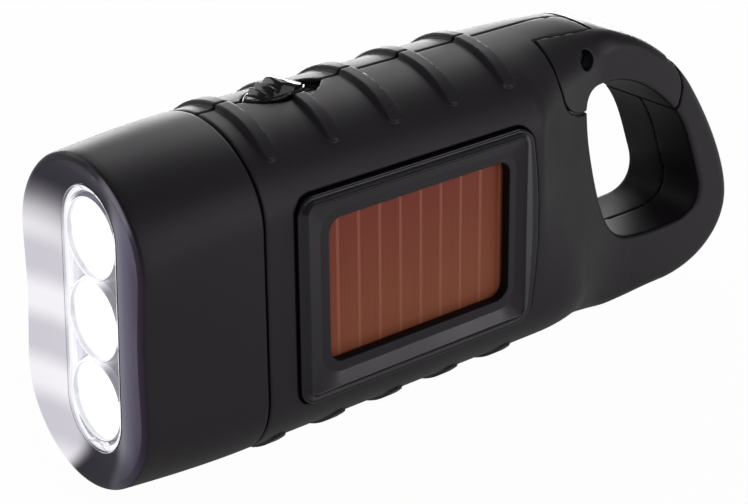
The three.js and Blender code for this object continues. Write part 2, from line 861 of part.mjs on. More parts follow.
// The solar side: its half of the body, a tray for the panel and posts for the screws.
function rightShell() {
  const tray = prismY(
    shapeOf(bezelRing(-wall)), -bodyHalfWidth, -bezelBack + wall + padThickness,
  );
  const seat = prismY(
    shapeOf(bezelRing(-fitGap)), -bodyHalfWidth - overrun, -bezelBack,
  );
  const panelSeat = panelBox(fitGap, -bezelBack - overrun, -bezelBack + padThickness + fitGap);
  const wireHole = cylinderY(wall, -bodyHalfWidth, 0, packX, bezelHalfHeight / 2 - wall);
  const bosses = caseScrews.slice(0, -1).map(([x, z]) =>
    boss(x, z, -bodyHalfWidth, -partingGap / 2, screwShank + bossWall));
  const pilots = caseScrews.map(([x, z]) =>
    cylinderY(screwShank + shaftGap, -screwReach - fitGap, overrun, x, z));
  const inside = insideShell(joined(tray, ...bosses, ...boardPosts()));
  const half = cutBy(shellForm(), shellHollow());
  const kept = joined(half, inside).intersect(sideBox(-1));
  return cutBy(kept, seat, panelSeat, wireHole, springCut(), ...pilots);
}

// The crank side: its half of the body, the hub, the gear posts and the screw seats.
function leftShell() {
  const inner = bodyHalfWidth - wall;
  const seats = caseScrews.map(([x, z]) =>
    cylinderY(screwHead + fitGap, screwSeat, bodyHalfWidth + overrun, x, z));
  const bores = caseScrews.map(([x, z]) =>
    cylinderY(screwShank + fitGap, -overrun, screwSeat + overrun, x, z));
  const bosses = caseScrews.slice(0, -1).map(([x, z]) =>
    boss(x, z, partingGap / 2, bodyHalfWidth, screwHead + fitGap + bossWall));
  const posts = postPlaces().map(([x, z]) => boss(x, z, plateTop, inner + wall / 2, postRadius));
  const axleBosses = [secondAxis, thirdAxis].map(([x, z]) =>
    boss(x, z, firstLevel + wheelWidth + fitGap, inner + wall / 2, 2 * axleRadius));
  const inside = insideShell(joined(...bosses, ...posts, ...axleBosses));
  const hub = boss(hubX, 0, inner, bodyHalfWidth + hubBossHeight, hubBossRadius);
  const half = joined(cutBy(shellForm(), shellHollow()), inside, hub).intersect(sideBox(1));
  const bushBore = shaftRadius + shaftGap + bushWall + fitGap;
  return cutBy(
    half,
    ...seats,
    ...bores,
    cylinderY(bushBore, 0, bodyHalfWidth + overrun, hubX, 0),
    ...axleHoles(),
    ...postPlaces().map(([x, z]) =>
      cylinderY(plateScrewShank + shaftGap, 0, plateTop + plateScrewReach, x, z)),
    springCut(),
  );
}

// Solar panel

// A ring in X and Z with four round corners, whose back edge bows out.
function roundedRing(x0, x1, high, corner, bow) {
  const points = [];
  const corners = [
    [x0 + corner, -high + corner, halfTurn],
    [x1 - corner, -high + corner, -quarterTurn],
    [x1 - corner, high - corner, 0],
    [x0 + corner, high - corner, quarterTurn],
  ];
  corners.forEach(([x, z, start], place) => {
    for (let step = 0; step <= cornerSteps; step++) {
      const angle = start + (step / cornerSteps) * quarterTurn;
      points.push([x + corner * Math.cos(angle), z + corner * Math.sin(angle)]);
    }
    if (place !== 1) return;
    for (let step = 1; step < curveSteps; step++)
      points.push([x1, (high - corner) * ((2 * step) / curveSteps - 1)]);
  });
  const bowAt = (x, z) => (x > (x0 + x1) / 2 ? bow * (1 - (z / high) ** 2) : 0);
  return points.map(([x, z]) => [x + bowAt(x, z), z]);
}

function bezelRing(inset, bow = bezelBow) {
  const end = bezelStart + bezelLength;
  const corner = Math.max(bezelCorner - inset, windowCorner);
  return roundedRing(bezelStart + inset, end - inset, bezelHalfHeight - inset, corner, bow);
}

function windowRing(inset) {
  const end = windowStart + windowLength;
  const corner = Math.max(windowCorner - inset, windowCorner / 2);
  return roundedRing(windowStart + inset, end - inset, windowHalfHeight - inset, corner, 0);
}

function shapeOf(ring) {
  return new THREE.Shape(ring.map(([x, z]) => new THREE.Vector2(x, z)));
}

function ringOf(ring, y) {
  return ring.map(([x, z]) => new THREE.Vector3(x, y, z));
}

function panelBox(gap, y0, y1) {
  const margin = cellMargin + gap;
  const high = windowHalfHeight + margin;
  return box(windowStart - margin, windowStart + windowLength + margin, y0, y1, -high, high);
}

const crestY = bodyHalfWidth + bezelProud;

// A frame with sloped flanks, a narrow crest, an inner slope and a window with a thin lip.
function solarBezel() {
  const frame = loft([
    ringOf(bezelRing(0), -bezelBack - fitGap),
    ringOf(bezelRing(0), -bodyHalfWidth),
    ringOf(bezelRing(bezelFlank, bezelBow / 4), -crestY),
  ]);
  const slopeStart = bezelFlank + crestWidth;
  const hollow = loft([
    ringOf(bezelRing(slopeStart, 0), -crestY - overrun),
    ringOf(bezelRing(slopeStart, 0), -crestY),
    ringOf(windowRing(-slopeStart), -crestY + innerSlopeDepth),
  ]);
  const opening = prismY(shapeOf(windowRing(0)), -crestY - overrun, 0);
  const rebate = panelBox(fitGap, -cellFront, -bezelBack + overrun);
  return cutBy(frame, hollow, opening, rebate);
}

const cellFront = crestY - innerSlopeDepth - lipThickness;

function solarCell() {
  return panelBox(0, -cellFront + fitGap, -cellFront + fitGap + cellThickness);
}

function solarPad() {
  const front = -cellFront + fitGap + cellThickness + fitGap;
  return panelBox(0, front, -bezelBack + padThickness);
}

// Slide switch

const switchFloor = bodyHalfHeight - switchRecessDepth + fitGap;

// A ribbed thumb piece on a thin oval base, with a stem that grips the lever below.
function switchKnob() {
  const radius = switchWidth / 2;
  const end = switchStart + switchLength;
  const middle = switchStart + switchLength / 2;
  const top = switchFloor + switchBase + switchHump;
  const oval = new THREE.Shape()
    .absarc(switchStart + radius, 0, radius, quarterTurn, -quarterTurn)
    .absarc(end - radius, 0, radius, -quarterTurn, quarterTurn);
  const flatHalf = (ridgeCount * ridgePitch) / 2;
  const base = prismZ(oval, switchFloor, switchFloor + switchBase);
  const hump = new THREE.Shape()
    .moveTo(switchStart + switchRim, switchFloor)
    .lineTo(switchStart + switchRim, switchFloor + switchBase)
    .quadraticCurveTo(middle - switchLength / 3, top, middle - flatHalf, top)
    .lineTo(middle + flatHalf, top)
    .quadraticCurveTo(middle + switchLength / 3, top, end - switchRim, switchFloor + switchBase)
    .lineTo(end - switchRim, switchFloor);
  const half = radius - switchRim;
  const round = radius * switchCrownShare;
  const crown = prismY(hump, -half, half).intersect(
    cylinderX(round, switchStart, end, 0, top - round, 2 * arcSteps),
  );
  const grooves = Array.from({ length: ridgeCount }, (_, i) => {
    const x = middle + (i - (ridgeCount - 1) / 2) * ridgePitch;
    return cylinderY(ridgeDepth, -radius - overrun, radius + overrun, x, top, ridgeSides);
  });
  const stem = cylinderZ(
    switchStem / 2, leverTop - switchLever / 2, switchFloor + switchBase, middle, 0,
  );
  const grip = box(
    middle - switchLever / 2 - shaftGap, middle + switchLever / 2 + shaftGap,
    -switchStem, switchStem, leverTop - switchLever, leverTop + fitGap,
  );
  return cutBy(joined(base, crown.intersect(aboveBase(oval)), stem), ...grooves, grip);
}

function aboveBase(oval) {
  return prismZ(oval, switchFloor, switchFloor + switchBase + switchHump + overrun);
}

const leverTop = bodyHalfHeight - wall - fitGap;
const switchBodyTop = leverTop - switchLever;

// The small slide switch under the roof; its lever moves with the thumb piece.
function switchBody() {
  const middle = switchStart + switchLength / 2 + switchTravel / 2;
  const halfLength = switchBodyLength / 2;
  const halfWidth = switchBodyWidth / 2;
  return box(
    middle - halfLength, middle + halfLength, -halfWidth, halfWidth,
    switchBodyTop - fitGap - switchBodyHeight, switchBodyTop - fitGap,
  );
}

function switchLeverBar() {
  const middle = switchStart + switchLength / 2;
  const half = switchLever / 2;
  return box(middle - half, middle + half, -half, half, switchBodyTop, leverTop);
}

// Gear train

function pitchRadius(teeth, module) {
  return (teeth * module) / 2;
}

function axisFrom([x, z], distance, angle) {
  return [x + distance * Math.cos(angle * degree), z + distance * Math.sin(angle * degree)];
}

const hubAxis = [hubX, 0];
const firstDistance = pitchRadius(crankTeeth + pinionTeeth, firstModule);
const secondDistance = pitchRadius(secondTeeth + pinionTeeth, secondModule);
const thirdDistance = pitchRadius(thirdTeeth + pinionTeeth, thirdModule);
const secondAxis = axisFrom(hubAxis, firstDistance, secondAngle);
const thirdAxis = axisFrom(secondAxis, secondDistance, thirdAngle);
const rotorAxis = axisFrom(thirdAxis, thirdDistance, rotorAngle);
const firstLevel = bodyHalfWidth - wall - bushFlange - fitGap - wheelWidth - fitGap;
const secondLevel = firstLevel - levelGap - wheelWidth;
const thirdLevel = secondLevel - levelGap - wheelWidth;
const plateTop = thirdLevel - levelGap;
const plateBottom = plateTop - gearPlate;

function postPlaces() {
  return platePosts.map(([x, z]) => [hubX + x, z]);
}

// An involute outline: each flank has its root, pitch and tip point, thinned for running play.
function gearOutline([x, z], teeth, module, toothAngle) {
  const pitch = pitchRadius(teeth, module);
  const base = pitch * Math.cos(pressureAngle * degree);
  const tip = pitch + addendumShare * module;
  const root = pitch - dedendumShare * module;
  const involute = (radius) => {
    const angle = Math.acos(Math.min(base / radius, 1));
    return Math.tan(angle) - angle;
  };
  const halfAt = (radius) =>
    (toothShare * quarterTurn) / teeth + involute(pitch) - involute(radius);
  const flank = [[root, halfAt(base)], [pitch, halfAt(pitch)], [tip, halfAt(tip)]];
  const points = [];
  for (let tooth = 0; tooth < teeth; tooth++) {
    const middle = toothAngle * degree + (tooth * fullTurn) / teeth;
    const up = flank.map(([radius, half]) => [radius, middle - half]);
    const down = flank.map(([radius, half]) => [radius, middle + half]).reverse();
    for (const [radius, angle] of [...up, ...down])
      points.push(new THREE.Vector2(x + radius * Math.cos(angle), z + radius * Math.sin(angle)));
  }
  return new THREE.Shape(points);
}

function toothedWheel(axis, teeth, module, toothAngle, y0, y1) {
  return prismY(gearOutline(axis, teeth, module, toothAngle), y0, y1);
}

// A tooth of the driver points at the driven wheel, which turns a gap towards it.
function gapAngle(angle, teeth) {
  return angle + (halfTurn + halfTurn / teeth) / degree;
}

function crankGear() {
  const wheel = toothedWheel(
    hubAxis, crankTeeth, firstModule, secondAngle, firstLevel, firstLevel + wheelWidth,
  );
  const bore = cylinderY(shaftHexRadius + fitGap, 0, bodyHalfWidth, hubX, 0, hexSides);
  const web = cutBy(
    cylinderY(pitchRadius(crankTeeth, firstModule) - 3 * firstModule,
      firstLevel - overrun, firstLevel + wheelWidth / 3, hubX, 0),
    cylinderY(2 * shaftRadius, firstLevel - 2 * overrun, firstLevel + wheelWidth, hubX, 0),
  );
  return cutBy(wheel, bore, web);
}

// A wheel and its pinion moulded as one, bored for a steel axle.
function compoundGear(axis, wheel, pinion) {
  const body = joined(
    toothedWheel(axis, wheel.teeth, wheel.module, wheel.angle, wheel.level, wheel.level + wheelWidth),
    toothedWheel(
      axis, pinionTeeth, pinion.module, pinion.angle,
      wheel.level + wheelWidth / 2, pinion.level + wheelWidth + fitGap,
    ),
  );
  return cutBy(body, cylinderY(axleRadius + shaftGap, 0, bodyHalfWidth, ...axis, arcSteps / 2));
}

function secondGear() {
  return compoundGear(
    secondAxis,
    { teeth: secondTeeth, module: secondModule, angle: thirdAngle, level: secondLevel },
    { module: firstModule, angle: gapAngle(secondAngle, pinionTeeth), level: firstLevel },
  );
}

function thirdGear() {
  return compoundGear(
    thirdAxis,
    { teeth: thirdTeeth, module: thirdModule, angle: rotorAngle, level: thirdLevel },
    { module: secondModule, angle: gapAngle(thirdAngle, pinionTeeth), level: secondLevel },
  );
}

const axleTop = bodyHalfWidth - wall;

function gearAxle([x, z]) {
  return cylinderY(axleRadius, plateBottom, axleTop, x, z, arcSteps / 2);
}

function axleHoles() {
  return [secondAxis, thirdAxis].map(([x, z]) =>
    cylinderY(axleRadius + shaftGap, 0, axleTop + fitGap, x, z, arcSteps / 2));
}

// The plate that carries the lower ends of the axles and the generator.
function gearPlateBody() {
  const carried = [hubAxis, secondAxis, thirdAxis, rotorAxis, ...postPlaces()];
  const outline = hullOutline(carried.map(([x, z]) => [x, z, postRadius + plateMargin]));
  const plate = prismY(outline, plateBottom, plateTop - fitGap);
  const through = ([x, z], radius) =>
    cylinderY(radius, plateBottom - overrun, plateTop + overrun, x, z);
  const notches = caseScrews.map((place) => through(place, screwHead + bossWall + 2 * fitGap));
  return cutBy(
    plate,
    ...notches,
    through(hubAxis, shaftRadius + shaftGap),
    through(secondAxis, axleRadius + shaftGap),
    through(thirdAxis, axleRadius + shaftGap),
    through(rotorAxis, rotorShaftRadius + shaftGap),
    ...postPlaces().map((place) => through(place, plateScrewShank + shaftGap)),
  );
}

function plateScrew([x, z]) {
  const under = plateBottom - fitGap;
  const low = under - plateScrewShank;
  const end = plateTop + plateScrewReach - fitGap;
  return joined(
    cylinderY(plateScrewHead, low, under, x, z),
    cylinderY(plateScrewShank, low, end, x, z, arcSteps / 2),
  );
}

// Generator

const rotorTop = plateBottom - fitGap;

function rotorMagnet() {
  const low = canBottom + canWall + fitGap;
  const magnet = cylinderY(magnetRadius, low, rotorTop, ...rotorAxis);
  const bore = cylinderY(
    rotorShaftRadius + shaftGap, low - overrun, rotorTop + overrun,
    ...rotorAxis, arcSteps / 2,
  );
  return cutBy(magnet, bore);
}

const trayTop = -bezelBack + wall + padThickness;
const canBottom = trayTop + canRoom;

function rotorShaft() {
  const top = thirdLevel + wheelWidth + levelGap;
  return cylinderY(rotorShaftRadius, canBottom - canWall, top, ...rotorAxis, arcSteps / 2);
}

function rotorPinion() {
  const wheel = toothedWheel(
    rotorAxis, pinionTeeth, thirdModule, gapAngle(rotorAngle, pinionTeeth),
    thirdLevel - fitGap / 2, thirdLevel + wheelWidth + fitGap,
  );
  const bore = cylinderY(
    rotorShaftRadius + shaftGap / 2, 0, bodyHalfWidth, ...rotorAxis, arcSteps / 2,
  );
  return cutBy(wheel, bore);
}

function statorCan() {
  const outer = coilOuter + fitGap + canWall;
  const profile = [
    [rotorShaftRadius + shaftGap, canBottom],
    [outer, canBottom],
    [outer, plateBottom - fitGap],
    [outer - canWall, plateBottom - fitGap],
    [outer - canWall, canBottom + canWall],
    [rotorShaftRadius + shaftGap, canBottom + canWall],
    [rotorShaftRadius + shaftGap, canBottom],
  ];
  return turnedY(profile, ...rotorAxis);
}

function coil() {
  const low = canBottom + canWall + fitGap;
  const high = rotorTop - coilEndGap;
  const profile = [
    [coilInner, low],
    [coilOuter, low],
    [coilOuter, high],
    [coilInner, high],
    [coilInner, low],
  ];
  return turnedY(profile, ...rotorAxis);
}

// Crank

const armInner = bodyHalfWidth + hubBossHeight + fitGap;
const armOuter = armInner + armThickness;
const tipX = hubX + armReach;
const knobAxisY = armInner + fitGap + knobRadius;
const knobStart = tipX - barrelRadius - fitGap;
const knobEnd = knobStart - knobLength;
const knobSlotHalf = knobRadius + knobSlotGap;

function crankShaft() {
  const collarTop = armInner + fitGap;
  const inner = cylinderY(shaftRadius, firstLevel + wheelWidth + fitGap, collarTop, hubX, 0);
  const drive = cylinderY(
    shaftHexRadius, plateTop, armInner + armThickness / 2, hubX, 0, hexSides,
  );
  const collar = cylinderY(
    shaftRadius + shaftGap + bushWall, firstLevel + wheelWidth + fitGap,
    firstLevel + wheelWidth + 2 * fitGap, hubX, 0,
  );
  const journal = cylinderY(shaftRadius, plateBottom, firstLevel - fitGap, hubX, 0);
  const thread = cylinderY(
    armScrewShank + shaftGap, armOuter - armScrewLength - fitGap, armOuter, hubX, 0,
  );
  return cutBy(joined(inner, drive, collar, journal), thread);
}

function crankBush() {
  const bore = shaftRadius + shaftGap;
  const flange = bodyHalfWidth - wall - fitGap;
  const profile = [
    [bore, flange - bushFlange + fitGap],
    [bore + 2 * bushWall, flange - bushFlange + fitGap],
    [bore + 2 * bushWall, flange],
    [bore + bushWall, flange],
    [bore + bushWall, bodyHalfWidth + hubBossHeight],
    [bore, bodyHalfWidth + hubBossHeight],
    [bore, flange - bushFlange + fitGap],
  ];
  return turnedY(profile, hubX, 0);
}

// A flat arm with a window that takes the folded knob, on a hexagon at the hub.
function crankArm() {
  const outline = hullOutline([[hubX, 0, armHubRadius], [tipX, 0, armTipRadius]]);
  const blank = roundedPrismY(outline, armInner, armOuter, armEdge);
  const slot = box(
    knobEnd - knobSlotGap, tipX + knobSlotBack, armInner - overrun, armOuter + overrun,
    -knobSlotHalf, knobSlotHalf,
  );
  const hex = cylinderY(
    shaftHexRadius + fitGap, armInner - overrun, armInner + armThickness / 2 + fitGap,
    hubX, 0, hexSides,
  );
  const collar = cylinderY(
    shaftRadius + fitGap, armInner - overrun, armInner + 2 * fitGap, hubX, 0,
  );
  const seat = cylinderY(
    armScrewHead + fitGap, armOuter - armScrewHeadHeight, armOuter + overrun, hubX, 0,
  );
  const shank = cylinderY(armScrewShank + fitGap, armInner, armOuter, hubX, 0);
  const pin = cylinderZ(
    hingePinRadius + shaftGap, -armHubRadius - overrun, armHubRadius + overrun, tipX, knobAxisY,
  );
  return cutBy(blank, slot, hex, collar, seat, shank, pin);
}

function armScrew() {
  const under = armOuter - armScrewHeadHeight + fitGap;
  return joined(
    cylinderY(armScrewHead, under, armOuter, hubX, 0),
    cylinderY(armScrewShank, armOuter - armScrewLength, armOuter - fitGap, hubX, 0, arcSteps / 2),
  );
}

function hingePin() {
  const half = armTipRadius - armEdge;
  return cylinderZ(hingePinRadius, -half, half, tipX, knobAxisY, arcSteps);
}

// The knob's hinge barrel with its spindle, which has a snap head inside the knob.
function knobSpindle() {
  const half = knobSlotHalf - fitGap;
  const barrel = cylinderZ(barrelRadius, -half, half, tipX, knobAxisY);
  const end = knobStart - spindleLength;
  const shank = cylinderX(spindleRadius, end, tipX, knobAxisY, 0, arcSteps / 2);
  const head = cylinderX(
    spindleRadius + spindleHead, end, end + spindleHeadLength, knobAxisY, 0, arcSteps / 2,
  );
  const bore = cylinderZ(
    hingePinRadius + shaftGap, -half - overrun, half + overrun, tipX, knobAxisY,
  );
  return cutBy(joined(barrel, shank, head), bore);
}

// A waisted grip that turns on the spindle, with a groove inside for the snap head.
function knob() {
  const bore = spindleRadius + shaftGap;
  const groove = bore + spindleHead;
  const headStart = knobStart - spindleLength - fitGap;
  const headEnd = headStart + spindleHeadLength + 2 * fitGap;
  const profile = [[0, knobEnd], [knobRadius * knobEndShare, knobEnd]];
  for (let step = 0; step <= curveSteps; step++) {
    const share = step / curveSteps;
    const waist = knobWaist * Math.sin(share * halfTurn) ** 2;
    const x = knobEnd + armEdge + share * (knobLength - 2 * armEdge);
    profile.push([knobRadius - waist, x]);
  }
  profile.push(
    [knobRadius * knobNeckShare, knobStart],
    [bore, knobStart],
    [bore, headEnd],
    [groove, headEnd],
    [groove, headStart],
    [0, headStart],
  );
  return turnedX(profile, knobAxisY, 0);
}

// Gate

// The middle of the pivot end is cut away for the tongue, with room to swing open.
function gateSlot() {
  const half = tongueHalfWidth + fitGap;
  const radius = tongueRadius + fitGap;
  const from = (gateOpening + gateSlotMargin - 90) * degree;
  const far = gateLobeRadius + overrun;
  const clear = tongueEnd + fitGap;
  const shape = new THREE.Shape()
    .moveTo(pinX + clear, bodyHalfHeight + overrun)
    .lineTo(loopStart - gatePinBack, bodyHalfHeight + overrun)
    .lineTo(loopStart - gatePinBack, pinZ - far)
    .lineTo(pinX + far * Math.tan(from + quarterTurn), pinZ - far)
    .lineTo(pinX + radius * Math.cos(from), pinZ + radius * Math.sin(from))
    .absarc(pinX, pinZ, radius, from, Math.acos(clear / radius));
  return prismY(shape, -half, half);
}

function gate() {
  const half = loopHalfWidth + overrun;
  const zone = prismY(gateZone(0), -half, half);
  const loop = cutBy(bodyForm(), holeCut());
  const bar = loop.intersect(zone);
  const legHole = cylinderX(
    springWire / 2 + fitGap, pinX, pinX + springLeg + fitGap, springLegY(), pinZ - springRadius,
  );
  return cutBy(bar, gateSlot(), pivotBore(gatePinRadius + shaftGap), legHole);
}

function gatePin() {
  const half = loopHalfWidth - gatePinRecess;
  return cylinderY(gatePinRadius, -half, half, pinX, pinZ);
}

function springLegY() {
  return (springTurns * springWire) / 2;
}

// A torsion spring: one leg lies in the shells and the other one in the gate.
function gateSpring() {
  const steps = springSteps * springTurns;
  const half = springLegY();
  const points = [new THREE.Vector3(pinX - springLeg, -half, pinZ + springRadius)];
  for (let step = 0; step <= steps; step++) {
    const angle = quarterTurn - (step / steps) * (fullTurn * springTurns + halfTurn);
    const y = -half + (step / steps) * 2 * half;
    points.push(new THREE.Vector3(
      pinX + springRadius * Math.cos(angle), y, pinZ + springRadius * Math.sin(angle),
    ));
  }
  points.push(new THREE.Vector3(pinX + springLeg, half, pinZ - springRadius));
  const path = new THREE.CurvePath();
  for (let i = 0; i + 1 < points.length; i++)
    path.add(new THREE.LineCurve3(points[i], points[i + 1]));
  const section = circle(0, 0, springWire / 2);
  const settings = { steps: points.length * 2, extrudePath: path, curveSegments: wireSteps };
  return solid(new THREE.ExtrudeGeometry(section, { ...settings, bevelEnabled: false }));
}

// Fasteners, board and cells

function caseScrew([x, z]) {
  return joined(
    cylinderY(screwHead, screwSeat + fitGap, screwSeat + fitGap + screwHeadHeight, x, z),
    cylinderY(screwShank, -screwReach, screwSeat + fitGap * 2, x, z, arcSteps / 2),
  );
}

const boardBack = boardSide - boardThickness;

function boardCorners() {
  return [
    [boardStart + boardHole, boardLow + boardHole],
    [boardStart + boardLength - boardHole, boardLow + boardHeight - boardHole],
  ];
}

function boardPosts() {
  return boardCorners().map(([x, z]) =>
    boss(x, z, -bodyHalfWidth + wall, boardBack - fitGap, boardPost));
}

// The charging board with its capacitor, four diodes and a chip.
function mainBoard() {
  const board = box(
    boardStart, boardStart + boardLength, boardBack, boardSide, boardLow, boardLow + boardHeight,
  );
  const middleX = boardStart + boardLength / 2;
  const top = boardLow + boardHeight;
  const capacitor = cylinderY(
    boardLength / 8, boardSide - boardSink, boardSide + boardLength / 4, middleX, top - boardHeight / 4,
  );
  const chip = box(
    middleX - boardLength / 8, middleX + boardLength / 8, boardSide - boardSink, boardSide + wall / 2,
    boardLow + boardHeight / 4, boardLow + boardHeight / 2,
  );
  const holes = boardCorners().map(([x, z]) =>
    cylinderY(boardPost / 2, boardBack - overrun, boardSide + overrun, x, z, arcSteps / 2));
  return cutBy(joined(board, capacitor, chip), ...holes);
}

// Three button cells in one sleeve, with a groove at each joint.
function cellPack() {
  const low = trayTop + packLead;
  const high = bodyHalfWidth - wall - packRoom;
  const step = (high - low) / cellCount;
  const profile = [[0, low], [packRadius - packGroove, low]];
  for (let cell = 0; cell < cellCount; cell++) {
    const start = low + cell * step;
    profile.push([packRadius, start + packGroove], [packRadius, start + step - packGroove]);
    profile.push([packRadius - packGroove, start + step]);
  }
  profile.push([0, high]);
  return turnedY(profile, packX, packZ);
}

// The whole torch, placed with its origin under the middle of its bounding box

const frontY = -crestY;
const backY = knobAxisY + knobRadius;
const baseZ = -(bodyHalfHeight + ribHeight - standDepth);
const torch = new THREE.Group();
torch.position.set(frontReach - torchLength / 2, -(frontY + backY) / 2, -baseZ);

// The lamp face leans back a little; the lean dies out towards the head's seam.
function leaned(geometry) {
  const places = geometry.getAttribute("position");
  for (let i = 0; i < places.count; i++) {
    const share = Math.max(1 - places.getX(i) / headLength, 0);
    places.setX(i, places.getX(i) + faceLean * places.getZ(i) * share);
  }
  return geometry;
}

function addHead(name, body, material) {
  add(name, body, material);
  leaned(torch.children.at(-1).geometry);
}

function add(name, body, material) {
  const mesh = new THREE.Mesh(geometryOf(body), material);
  mesh.name = name;
  torch.add(mesh);
}

addHead("head_shell", headShell(), shellMaterial);
addHead("lens", lens(), lensMaterial);
addHead("reflector", reflector(), chromeMaterial);
[-1, 0, 1].forEach((place, i) => addHead(`led_${i + 1}`, led(place), ledMaterial));
addHead("led_board", ledBoard(), boardMaterial);
add("right_shell", rightShell(), shellMaterial);
add("left_shell", leftShell(), shellMaterial);
add("solar_bezel", solarBezel(), bezelMaterial);
add("solar_cell", solarCell(), cellMaterial);
add("solar_pad", solarPad(), padMaterial);
add("switch_knob", switchKnob(), glossMaterial);
add("switch_lever", switchLeverBar(), steelMaterial);
add("switch_body", switchBody(), steelMaterial);
caseScrews.forEach((place, i) => add(`case_screw_${i + 1}`, caseScrew(place), steelMaterial));
add("main_board", mainBoard(), boardMaterial);
add("cell_pack", cellPack(), packMaterial);
add("crank_gear", crankGear(), gearMaterial);
add("gear_2", secondGear(), gearMaterial);
add("gear_3", thirdGear(), gearMaterial);
add("gear_2_axle", gearAxle(secondAxis), steelMaterial);
add("gear_3_axle", gearAxle(thirdAxis), steelMaterial);
add("gear_plate", gearPlateBody(), padMaterial);
postPlaces().forEach((place, i) => add(`plate_screw_${i + 1}`, plateScrew(place), steelMaterial));
add("rotor_magnet", rotorMagnet(), magnetMaterial);
add("rotor_shaft", rotorShaft(), steelMaterial);
add("rotor_pinion", rotorPinion(), brassMaterial);
add("stator_can", statorCan(), steelMaterial);
add("coil", coil(), copperMaterial);
add("crank_shaft", crankShaft(), gearMaterial);
add("crank_bush", crankBush(), brassMaterial);
add("crank_arm", crankArm(), shellMaterial);
add("arm_screw", armScrew(), steelMaterial);
add("knob_hinge_pin", hingePin(), steelMaterial);
add("knob_spindle", knobSpindle(), shellMaterial);
add("knob", knob(), gateMaterial);
add("gate", gate(), gateMaterial);
add("gate_pin", gatePin(), steelMaterial);
add("gate_spring", gateSpring(), steelMaterial);

const part = new THREE.Group();
part.add(torch);

export default part;
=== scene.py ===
# Looks of a hand cranked flashlight, built round its packed CAD frame.
# Lengths of the pieces are worked out in millimetres from the datum of the CAD model, the
# middle of the lamps on the joint between the shells, and put() places them in metres.
import json
import math

import bpy
import numpy as np
from bpy.props import FloatProperty, FloatVectorProperty, PointerProperty
from mathutils import Matrix, Vector


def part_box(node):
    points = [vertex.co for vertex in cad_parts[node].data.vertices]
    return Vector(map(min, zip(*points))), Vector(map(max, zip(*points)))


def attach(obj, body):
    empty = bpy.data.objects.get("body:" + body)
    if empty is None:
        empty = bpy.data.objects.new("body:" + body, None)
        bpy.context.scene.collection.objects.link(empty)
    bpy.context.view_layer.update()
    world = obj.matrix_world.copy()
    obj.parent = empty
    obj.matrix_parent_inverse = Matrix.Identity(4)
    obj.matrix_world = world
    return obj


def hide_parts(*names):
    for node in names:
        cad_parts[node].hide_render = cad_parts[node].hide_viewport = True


bl_info = {
    "name": "Hand crank flashlight looks",
    "version": (1, 0, 0),
    "blender": (4, 5, 0),
    "location": "View3D > Sidebar > Flashlight",
    "description": "Detailed pieces, finishes and a stage for a hand cranked flashlight",
    "category": "Object",
}

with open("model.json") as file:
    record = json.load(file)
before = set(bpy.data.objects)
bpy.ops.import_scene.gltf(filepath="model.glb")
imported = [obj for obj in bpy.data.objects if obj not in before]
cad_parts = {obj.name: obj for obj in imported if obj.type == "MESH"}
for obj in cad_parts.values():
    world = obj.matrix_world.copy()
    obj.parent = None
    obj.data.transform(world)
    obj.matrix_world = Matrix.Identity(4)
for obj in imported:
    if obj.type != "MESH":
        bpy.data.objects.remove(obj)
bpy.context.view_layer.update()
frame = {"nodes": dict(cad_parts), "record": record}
MM, HUB_BEHIND = 0.001, 0.050
SHAFT_LOW, SHAFT_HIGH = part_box("crank_shaft")
DATUM = np.array([
    (SHAFT_LOW.x + SHAFT_HIGH.x) / 2 - HUB_BEHIND,
    (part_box("lens")[0].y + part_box("lens")[1].y) / 2,
    (SHAFT_LOW.z + SHAFT_HIGH.z) / 2,
])
PAINTS = {}
DULL, BRIGHT, TARNISHED, PATCH = 0.88, 1.14, 0.86, 0.02
BRUSH_STRETCH, BRUSH_DEPTH = (1.0, 1.0, 12.0), 0.004


class Value:
    """A socket's number, on which Python's operators add Math nodes."""

    def __init__(self, paint, socket):
        self.paint = paint
        self.socket = socket

    def math(self, operation, *others):
        """A Math node with this number first."""
        return self.paint.node("ShaderNodeMath", {"operation": operation}, self, *others)

    def spread(self, low, high, start=0.0, end=1.0):
        """The share of the way from low to high, smoothed, as a number from start to end."""
        settings = {"interpolation_type": "SMOOTHSTEP"}
        return self.paint.node("ShaderNodeMapRange", settings, self, low, high, start, end)

    def between(self, low, rise, fall, high):
        """1 between rise and fall, dying away to 0 at low and at high."""
        return self.spread(low, rise) * self.spread(high, fall)

    def bands(self, *stops):
        """A colour ramp over the number, its stops given as pairs of place and colour."""
        return self.paint.node("ShaderNodeValToRGB", {"stops": stops}, self)

    def __add__(self, other):
        return self.math("ADD", other)

    def __mul__(self, other):
        return self.math("MULTIPLY", other)

    def __sub__(self, other):
        return self.math("SUBTRACT", other)

    def __rsub__(self, other):
        return self.paint.node("ShaderNodeMath", {"operation": "SUBTRACT"}, other, self)

    def __truediv__(self, other):
        return self.math("DIVIDE", other)

    def __pow__(self, other):
        return self.math("POWER", other)

    __radd__ = __add__
    __rmul__ = __mul__


